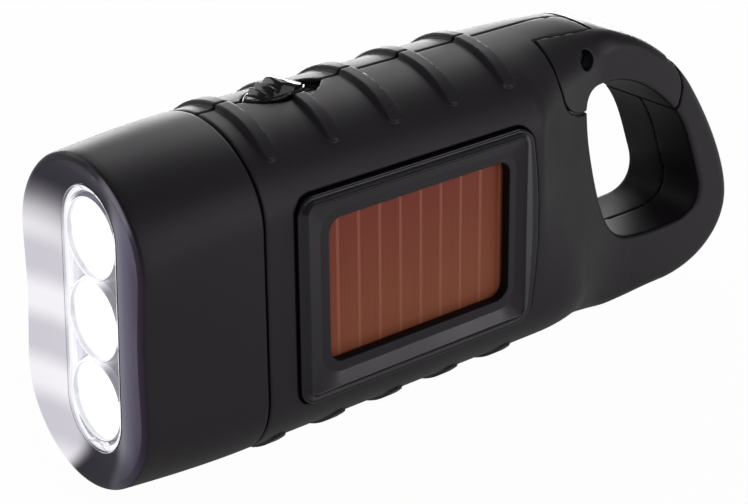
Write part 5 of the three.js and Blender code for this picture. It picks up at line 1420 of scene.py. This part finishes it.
def make_camera(sizes):
    """The camera looks at a point fixed to the datum, along azimuth and elevation."""
    target = Vector(DATUM + AIM * MM)
    across, rise = sizes.azimuth, sizes.elevation
    back = Vector((
        math.sin(across) * math.cos(rise), -math.cos(across) * math.cos(rise), math.sin(rise),
    ))
    right = (-back).cross(Vector((0, 0, 1))).normalized()
    up = right.cross(-back)
    lean = Matrix.Rotation(sizes.roll, 3, back)
    right, up = lean @ right, lean @ up
    data = bpy.data.cameras.new("camera")
    data.lens = sizes.focal
    data.clip_start = 0.01
    camera = bpy.data.objects.new("camera", data)
    turn = Matrix((right, up, back)).transposed().to_4x4()
    camera.matrix_world = Matrix.Translation(target + back * sizes.distance) @ turn
    bpy.context.scene.collection.objects.link(camera)
    bpy.context.scene.camera = camera


def lamp(name, place, aim, size, power):
    """A soft rectangular lamp at its place, pointed at the aim."""
    data = bpy.data.lights.new(name, "AREA")
    data.shape = "RECTANGLE"
    data.size, data.size_y = size
    data.energy = power
    light = bpy.data.objects.new(name, data)
    light.location = place
    light.rotation_euler = (Vector(aim) - Vector(place)).to_track_quat("-Z", "Y").to_euler()
    bpy.context.scene.collection.objects.link(light)


# Name, place and aim in metres, width and height, and power of each soft lamp.
SOFT_LAMPS = (
    ("lamp_above", (0.5, 0.47, 0.58), (0.03, 0.05, 0.03), (0.55, 0.45), 1.9),
    ("lamp_back", (0.56, 0.76, 0.12), (0, 0, 0.03), (1.0, 0.2), 6.0),
    ("lamp_side", (0.25, -0.8, 0.35), (0, 0, 0.03), (0.7, 0.5), 1.1),
    ("lamp_rear", (-0.25, 0.8, 0.4), (0, 0, 0.03), (0.6, 0.4), 1.4),
    ("lamp_edge", (0.55, -0.75, 0.06), (0, 0, 0.03), (0.16, 0.1), 0.3),
)
FLOOR_REACH, FLOOR_GLOW, FLOOR_SEEN, ROOM_LIGHT = 3.0, 0.22, 0.76, 0.18
AIM = np.array([54.45, 0.0, -4.74])


def make_world():
    """A white background for the camera, and dim light from all round for the pieces."""
    world = bpy.data.worlds.new("room")
    bpy.context.scene.world = world
    world.use_nodes = True
    tree = world.node_tree
    tree.nodes.clear()
    output = tree.nodes.new("ShaderNodeOutputWorld")
    path = tree.nodes.new("ShaderNodeLightPath")
    white, dim = (tree.nodes.new("ShaderNodeBackground") for _ in range(2))
    white.inputs["Strength"].default_value = 1.0
    dim.inputs["Strength"].default_value = ROOM_LIGHT
    for node in (white, dim):
        node.inputs["Color"].default_value = (1, 1, 1, 1)
    seen = tree.nodes.new("ShaderNodeMath")
    seen.operation = "MAXIMUM"
    mixer = tree.nodes.new("ShaderNodeMixShader")
    for start, end in (
        (path.outputs["Is Camera Ray"], seen.inputs[0]),
        (path.outputs["Is Transmission Ray"], seen.inputs[1]),
        (seen.outputs[0], mixer.inputs[0]),
        (dim.outputs[0], mixer.inputs[1]),
        (white.outputs[0], mixer.inputs[2]),
        (mixer.outputs[0], output.inputs["Surface"]),
    ):
        tree.links.new(start, end)


def operator(name, label, tip, work):
    """An operator class that makes one piece or one group of like pieces."""
    def execute(self, context):
        work(context.scene.flashlight_looks)
        return {"FINISHED"}

    return type(f"FLASHLIGHT_OT_{name}", (bpy.types.Operator,), {
        "__doc__": tip, "bl_idname": f"flashlight.{name}", "bl_label": label, "execute": execute,
    })


def use_finishes(looks):
    """Makes the finishes and gives them to the CAD nodes that stay in sight."""
    make_paints(looks)
    dress_nodes()


QUICK_GRID, SWITCH_GRID, CRANK_GRID = 1.5, 0.6, 1.2


def grid(step):
    """The step of a piece's grid; quick trials use a wider one."""
    return step * 1.0


PIECES = (
    ("finishes", "Finishes", "Makes the finishes and puts them on the CAD nodes", use_finishes),
    ("body", "Body", "Makes the two moulded halves of the body",
     lambda looks: make_body(grid(looks.shell_step))),
    ("head", "Head", "Makes the head with its dish, lens, reflector and lamps",
     lambda looks: make_head(grid(looks.fine_step))),
    ("panel", "Solar panel", "Makes the panel's frame and cell",
     lambda looks: make_panel(grid(looks.fine_step))),
    ("switch", "Switch", "Makes the slide switch's thumb piece",
     lambda looks: make_switch(grid(looks.fine_step * SWITCH_GRID))),
    ("gate", "Gate", "Makes the spring gate and its pivot",
     lambda looks: make_gate(grid(looks.fine_step))),
    ("crank", "Crank", "Makes the crank arm, its screw, hinge and knob",
     lambda looks: make_crank(grid(looks.fine_step * CRANK_GRID))),
    ("screws", "Screws", "Makes the case screws", lambda looks: make_screws()),
)
OPERATORS = [operator(*piece) for piece in PIECES] + [FLASHLIGHT_OT_stage]


class FLASHLIGHT_PT_panel(bpy.types.Panel):
    """Buttons for the pieces and the stage"""

    bl_idname = "FLASHLIGHT_PT_panel"
    bl_label = "Flashlight"
    bl_space_type = "VIEW_3D"
    bl_region_type = "UI"
    bl_category = "Flashlight"

    def draw(self, context):
        for made in OPERATORS:
            self.layout.operator(made.bl_idname)
        for group in (context.scene.flashlight_looks, context.scene.flashlight_stage):
            for key in group.__annotations__:
                self.layout.prop(group, key)


CLASSES = (Looks, StageSizes, *OPERATORS, FLASHLIGHT_PT_panel)


def register():
    for made in CLASSES:
        bpy.utils.register_class(made)
    bpy.types.Scene.flashlight_looks = PointerProperty(type=Looks)
    bpy.types.Scene.flashlight_stage = PointerProperty(type=StageSizes)


def unregister():
    del bpy.types.Scene.flashlight_looks
    del bpy.types.Scene.flashlight_stage
    for made in reversed(CLASSES):
        bpy.utils.unregister_class(made)


def main():
    register()
    for name, *_ in PIECES:
        getattr(bpy.ops.flashlight, name)()
    bpy.ops.flashlight.stage()


if __name__ == "__main__":
    main()
